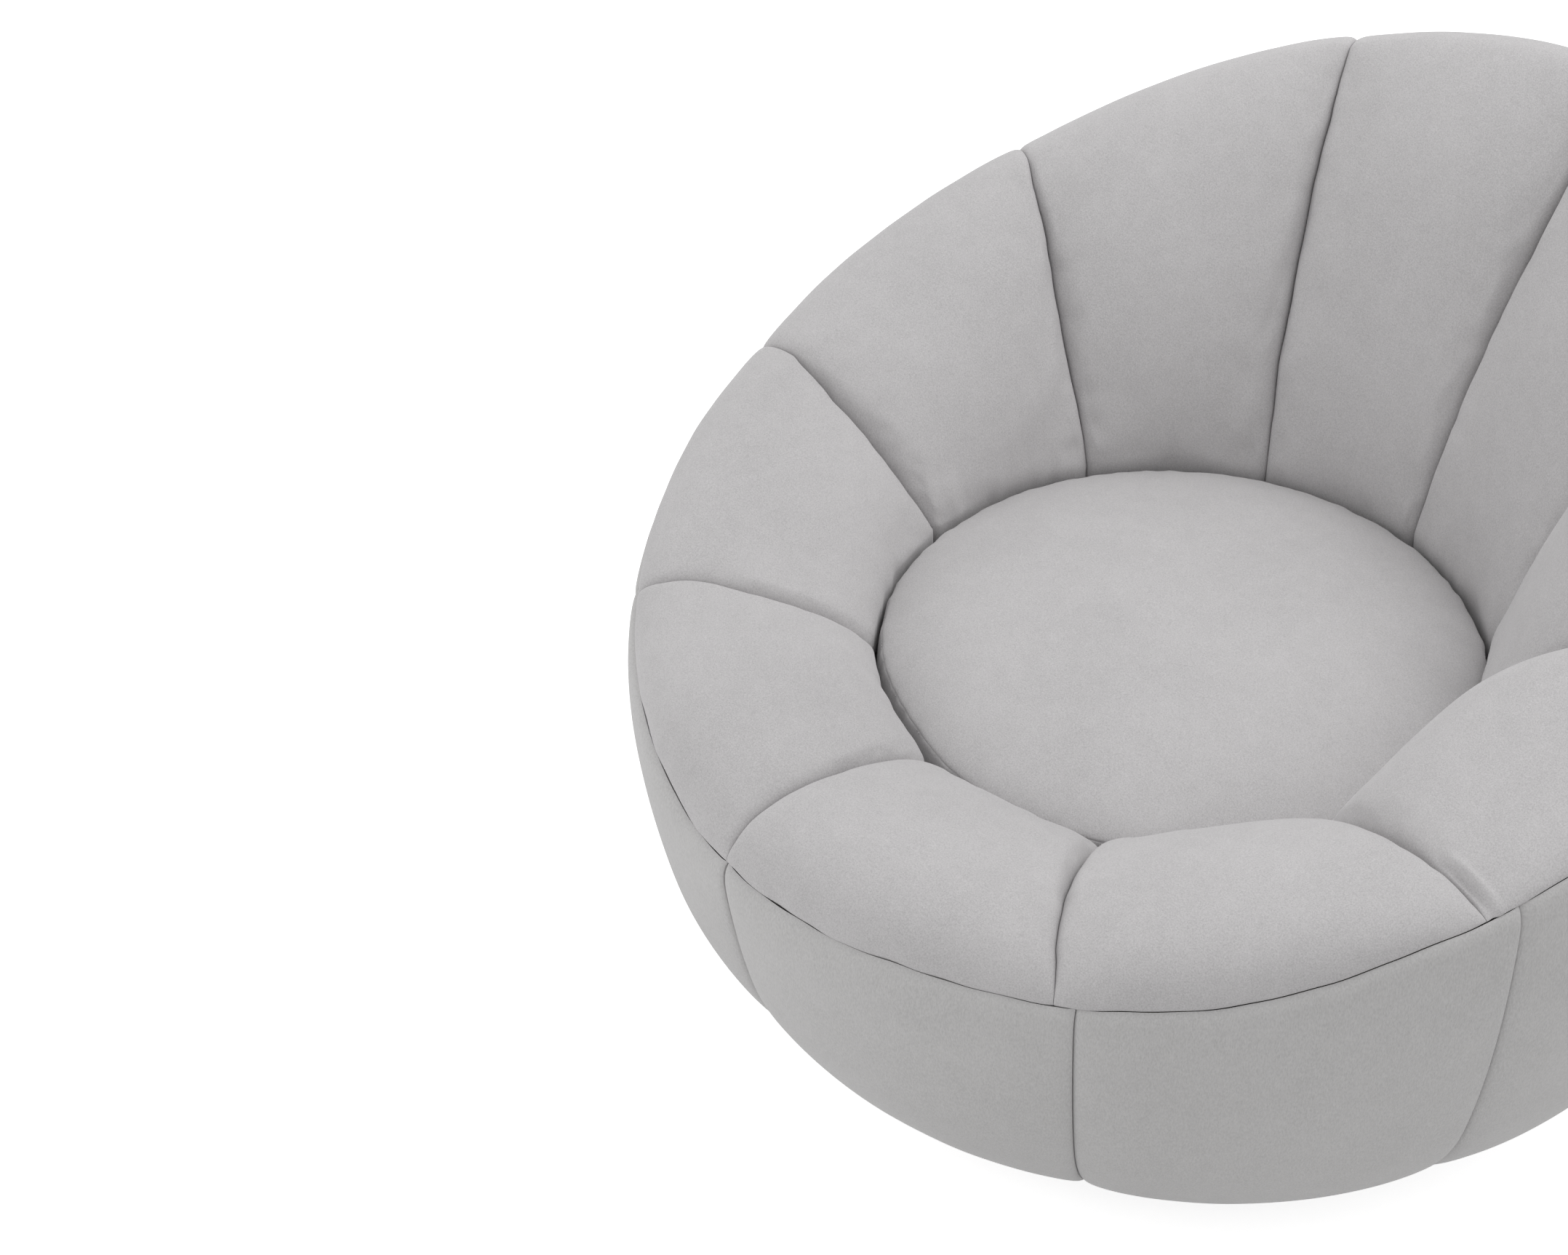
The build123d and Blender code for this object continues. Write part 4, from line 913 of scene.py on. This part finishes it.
def plywood(name):
    n = Nodes(name)
    grain = n.noise(18.0, detail=4.0, rough=0.6, place=n.stretched((1.0, 1.0, 14.0)))
    plies = n.bands("Z", scale=95.0, distortion=1.2)
    mix = blend(n, grain, 0.7, plies)
    dark, tan, light = (0.40, 0.26, 0.14), (0.58, 0.42, 0.25), (0.68, 0.53, 0.35)
    n.colour(n.ramp(mix, [(0.25, dark), (0.55, tan), (0.8, light)]))
    n.bump(mix, strength=0.2, distance=0.0008)
    n.set(Roughness=0.62)
    return n.material


def beech(name):
    n = Nodes(name)
    grain = n.noise(24.0, detail=4.0, rough=0.55, place=n.stretched((1.0, 1.0, 8.0)))
    flecks = n.noise(420.0, detail=1.0, rough=0.5, place=n.stretched((1.0, 1.0, 0.2)))
    mix = blend(n, grain, 0.75, flecks)
    n.colour(n.ramp(mix, [(0.3, (0.50, 0.31, 0.17)), (0.7, (0.68, 0.47, 0.29))]))
    n.bump(flecks, strength=0.15, distance=0.0004)
    n.set(Roughness=0.55)
    return n.material


# Plain woven band or cloth: two crossing sets of threads
def woven(name, dark, light, threads, rough):
    n = Nodes(name)
    weave = n.math("MULTIPLY", *[n.bands(axis, scale=threads, distortion=0.6) for axis in ("X", "Y")])
    wear = n.noise(35.0, detail=3.0)
    mix = blend(n, weave, 0.7, wear)
    n.colour(n.ramp(mix, [(0.15, dark), (0.8, light)]))
    n.bump(weave, strength=0.5, distance=0.0006)
    n.set(Roughness=rough, Specular_IOR_Level=0.25)
    return n.material


def felt(name):
    n = Nodes(name)
    fibre = n.noise(650.0, detail=4.0, rough=0.7)
    tufts = n.noise(60.0, detail=3.0, rough=0.6)
    mix = blend(n, fibre, 0.55, tufts)
    dark, grey, light = (0.17, 0.17, 0.17), (0.26, 0.26, 0.255), (0.38, 0.375, 0.37)
    n.colour(n.ramp(mix, [(0.3, dark), (0.5, grey), (0.7, light)]))
    n.bump(mix, strength=0.5, distance=0.0012)
    n.set(Roughness=0.97, Specular_IOR_Level=0.15, Sheen_Weight=0.2)
    return n.material


def metal(name, dark, light, rough, scale):
    n = Nodes(name)
    cloud = n.noise(scale, detail=4.0, rough=0.6)
    n.colour(n.ramp(cloud, [(0.3, dark), (0.7, light)]))
    n.join(n.spread(cloud, rough * 0.8, rough * 1.25), n.shader.inputs["Roughness"])
    n.bump(n.noise(700.0, detail=2.0), strength=0.08, distance=0.0003)
    n.set(Metallic=1.0)
    return n.material


def plastic(name, dark, light, rough):
    n = Nodes(name)
    grit = n.noise(900.0, detail=2.0, rough=0.6)
    cloud = n.noise(40.0, detail=3.0)
    n.colour(n.ramp(blend(n, grit, 0.5, cloud), [(0.35, dark), (0.65, light)]))
    n.join(n.spread(cloud, rough * 0.9, rough * 1.15), n.shader.inputs["Roughness"])
    n.bump(grit, strength=0.12, distance=0.0003)
    return n.material


PAD_SHADE, PAD_CONTRAST, PAD_GRAIN = (0.512, 0.501, 0.505), 0.15, (1.0, 1.0, 1.0)
PANEL_SHADE, PANEL_CONTRAST, PANEL_GRAIN = (0.510, 0.503, 0.501), 0.11, (1.0, 1.0, 0.35)
MATERIALS = {
    "upholstery": pile_fabric("brushed_pile_pads", PAD_SHADE, PAD_GRAIN, PAD_CONTRAST),
    "plywood": plywood("birch_plywood"),
    "beech": beech("beech_wood"),
    "webbing": woven("elastic_webbing", (0.018, 0.018, 0.020), (0.085, 0.085, 0.092), 160.0, 0.9),
    "felt": felt("grey_felt"),
    "lining": woven("black_lining", (0.010, 0.010, 0.011), (0.045, 0.045, 0.047), 260.0, 0.85),
    "plate_steel": metal("black_coated_steel", (0.025, 0.025, 0.027), (0.05, 0.05, 0.052), 0.5, 60.0),
    "zinc_steel": metal("zinc_steel", (0.48, 0.48, 0.47), (0.68, 0.68, 0.66), 0.35, 120.0),
    "ball_steel": metal("polished_steel", (0.62, 0.62, 0.63), (0.74, 0.74, 0.75), 0.12, 90.0),
    "nylon": plastic("white_nylon", (0.62, 0.60, 0.55), (0.72, 0.70, 0.65), 0.4),
    "base_black": plastic("black_painted_board", (0.012, 0.012, 0.013), (0.028, 0.028, 0.029), 0.5),
    "glide_plastic": plastic("black_glide", (0.015, 0.015, 0.016), (0.03, 0.03, 0.03), 0.45),
}
PANEL_FABRIC = pile_fabric("brushed_pile_panels", PANEL_SHADE, PANEL_GRAIN, PANEL_CONTRAST)

for part in frame["record"]["subparts"]:
    data = frame["nodes"][part["node"]].data
    data.materials.clear()
    data.materials.append(MATERIALS[part["material_slot"]])

for bay in range(BAYS):
    make_pad(bay, MATERIALS["upholstery"])
    make_panel(bay, PANEL_FABRIC)
make_cushion(MATERIALS["upholstery"])
make_stitches(MATERIALS["upholstery"])
make_dust_cover(MATERIALS["lining"])
make_deck(MATERIALS["felt"])


# Stage: floor, light and camera
WORLD_LEVEL = 0.722
FLOOR_HALF, FLOOR_GREY, FLOOR_GLOW = 30, 0.8, 0.72
LIGHT_TARGET = (0, 0, 0.4)


# White floor that takes the chair's shadow, and glows to the camera so that it meets the white behind
def make_floor():
    bm = bmesh.new()
    bmesh.ops.create_grid(bm, x_segments=1, y_segments=1, size=FLOOR_HALF)
    floor = from_bmesh("floor", bm)
    n = Nodes("floor_white")
    n.set(Roughness=1.0, Specular_IOR_Level=0.0, Base_Color=(FLOOR_GREY, FLOOR_GREY, FLOOR_GREY, 1))
    glow = n.add("ShaderNodeEmission")
    path = n.add("ShaderNodeLightPath")
    seen = n.math("MAXIMUM", path.outputs["Is Camera Ray"], path.outputs["Is Glossy Ray"])
    seen = n.math("MAXIMUM", seen, path.outputs["Is Transmission Ray"])
    n.join(n.math("MULTIPLY", seen, FLOOR_GLOW), glow.inputs["Strength"])
    both = n.add("ShaderNodeAddShader")
    n.join(n.shader.outputs["BSDF"], both.inputs[0])
    n.join(glow.outputs["Emission"], both.inputs[1])
    n.join(both.outputs["Shader"], n.tree.nodes["Material Output"].inputs["Surface"])
    floor.data.materials.append(n.material)


# Even light from all round, seen as plain white
def make_world():
    world = bpy.data.worlds.new("studio")
    bpy.context.scene.world = world
    world.use_nodes = True
    tree = world.node_tree
    back = tree.nodes["Background"]
    back.inputs["Color"].default_value = (1, 1, 1, 1)
    path = tree.nodes.new("ShaderNodeLightPath")
    seen = path.outputs["Is Camera Ray"]
    for other in ("Is Glossy Ray", "Is Transmission Ray"):
        node = tree.nodes.new("ShaderNodeMath")
        node.operation = "MAXIMUM"
        tree.links.new(seen, node.inputs[0])
        tree.links.new(path.outputs[other], node.inputs[1])
        seen = node.outputs[0]
    level = tree.nodes.new("ShaderNodeMapRange")
    level.inputs["To Min"].default_value = WORLD_LEVEL
    level.inputs["To Max"].default_value = 1.0
    tree.links.new(seen, level.inputs["Value"])
    tree.links.new(level.outputs["Result"], back.inputs["Strength"])


def make_light(name, place, size, power):
    lamp = bpy.data.lights.new(name, "AREA")
    lamp.shape = "DISK"
    lamp.size = size
    lamp.energy = power
    obj = bpy.data.objects.new(name, lamp)
    obj.location = place
    obj.rotation_euler = (Vector(LIGHT_TARGET) - Vector(place)).to_track_quat("-Z", "Y").to_euler()
    bpy.context.scene.collection.objects.link(obj)


CAMERA_PLACE = (1.7061, -1.5391, 2.2335)
CAMERA_YAW, CAMERA_PITCH, CAMERA_ROLL = 57.506, 39.287, -1.441
FOCAL_PIXELS, IMAGE_WIDTH, SENSOR = 4500.0, 2156.0, 36.0


def make_camera():
    yaw, pitch, roll = (math.radians(x) for x in (CAMERA_YAW, CAMERA_PITCH, CAMERA_ROLL))
    right = Vector((math.cos(yaw), math.sin(yaw), 0))
    ahead = Vector((-math.sin(yaw), math.cos(yaw), 0)) * math.cos(pitch)
    ahead += Vector((0, 0, -math.sin(pitch)))
    up = right.cross(ahead)
    side = right * math.cos(roll) + up * math.sin(roll)
    top = up * math.cos(roll) - right * math.sin(roll)
    data = bpy.data.cameras.new("camera")
    data.sensor_width = SENSOR
    data.lens = FOCAL_PIXELS * SENSOR / IMAGE_WIDTH
    camera = bpy.data.objects.new("camera", data)
    bpy.context.scene.collection.objects.link(camera)
    turn = Matrix((side, top, -ahead)).transposed().to_4x4()
    camera.matrix_world = Matrix.Translation(CAMERA_PLACE) @ turn
    bpy.context.scene.camera = camera


make_floor()
make_world()
make_light("key", place=(0.3, 1.4, 3.1), size=2.2, power=37.0)
make_light("fill", place=(-1.9, -2.9, 1.0), size=2.0, power=20.0)
make_camera()
bpy.context.scene.view_settings.view_transform = "Standard"
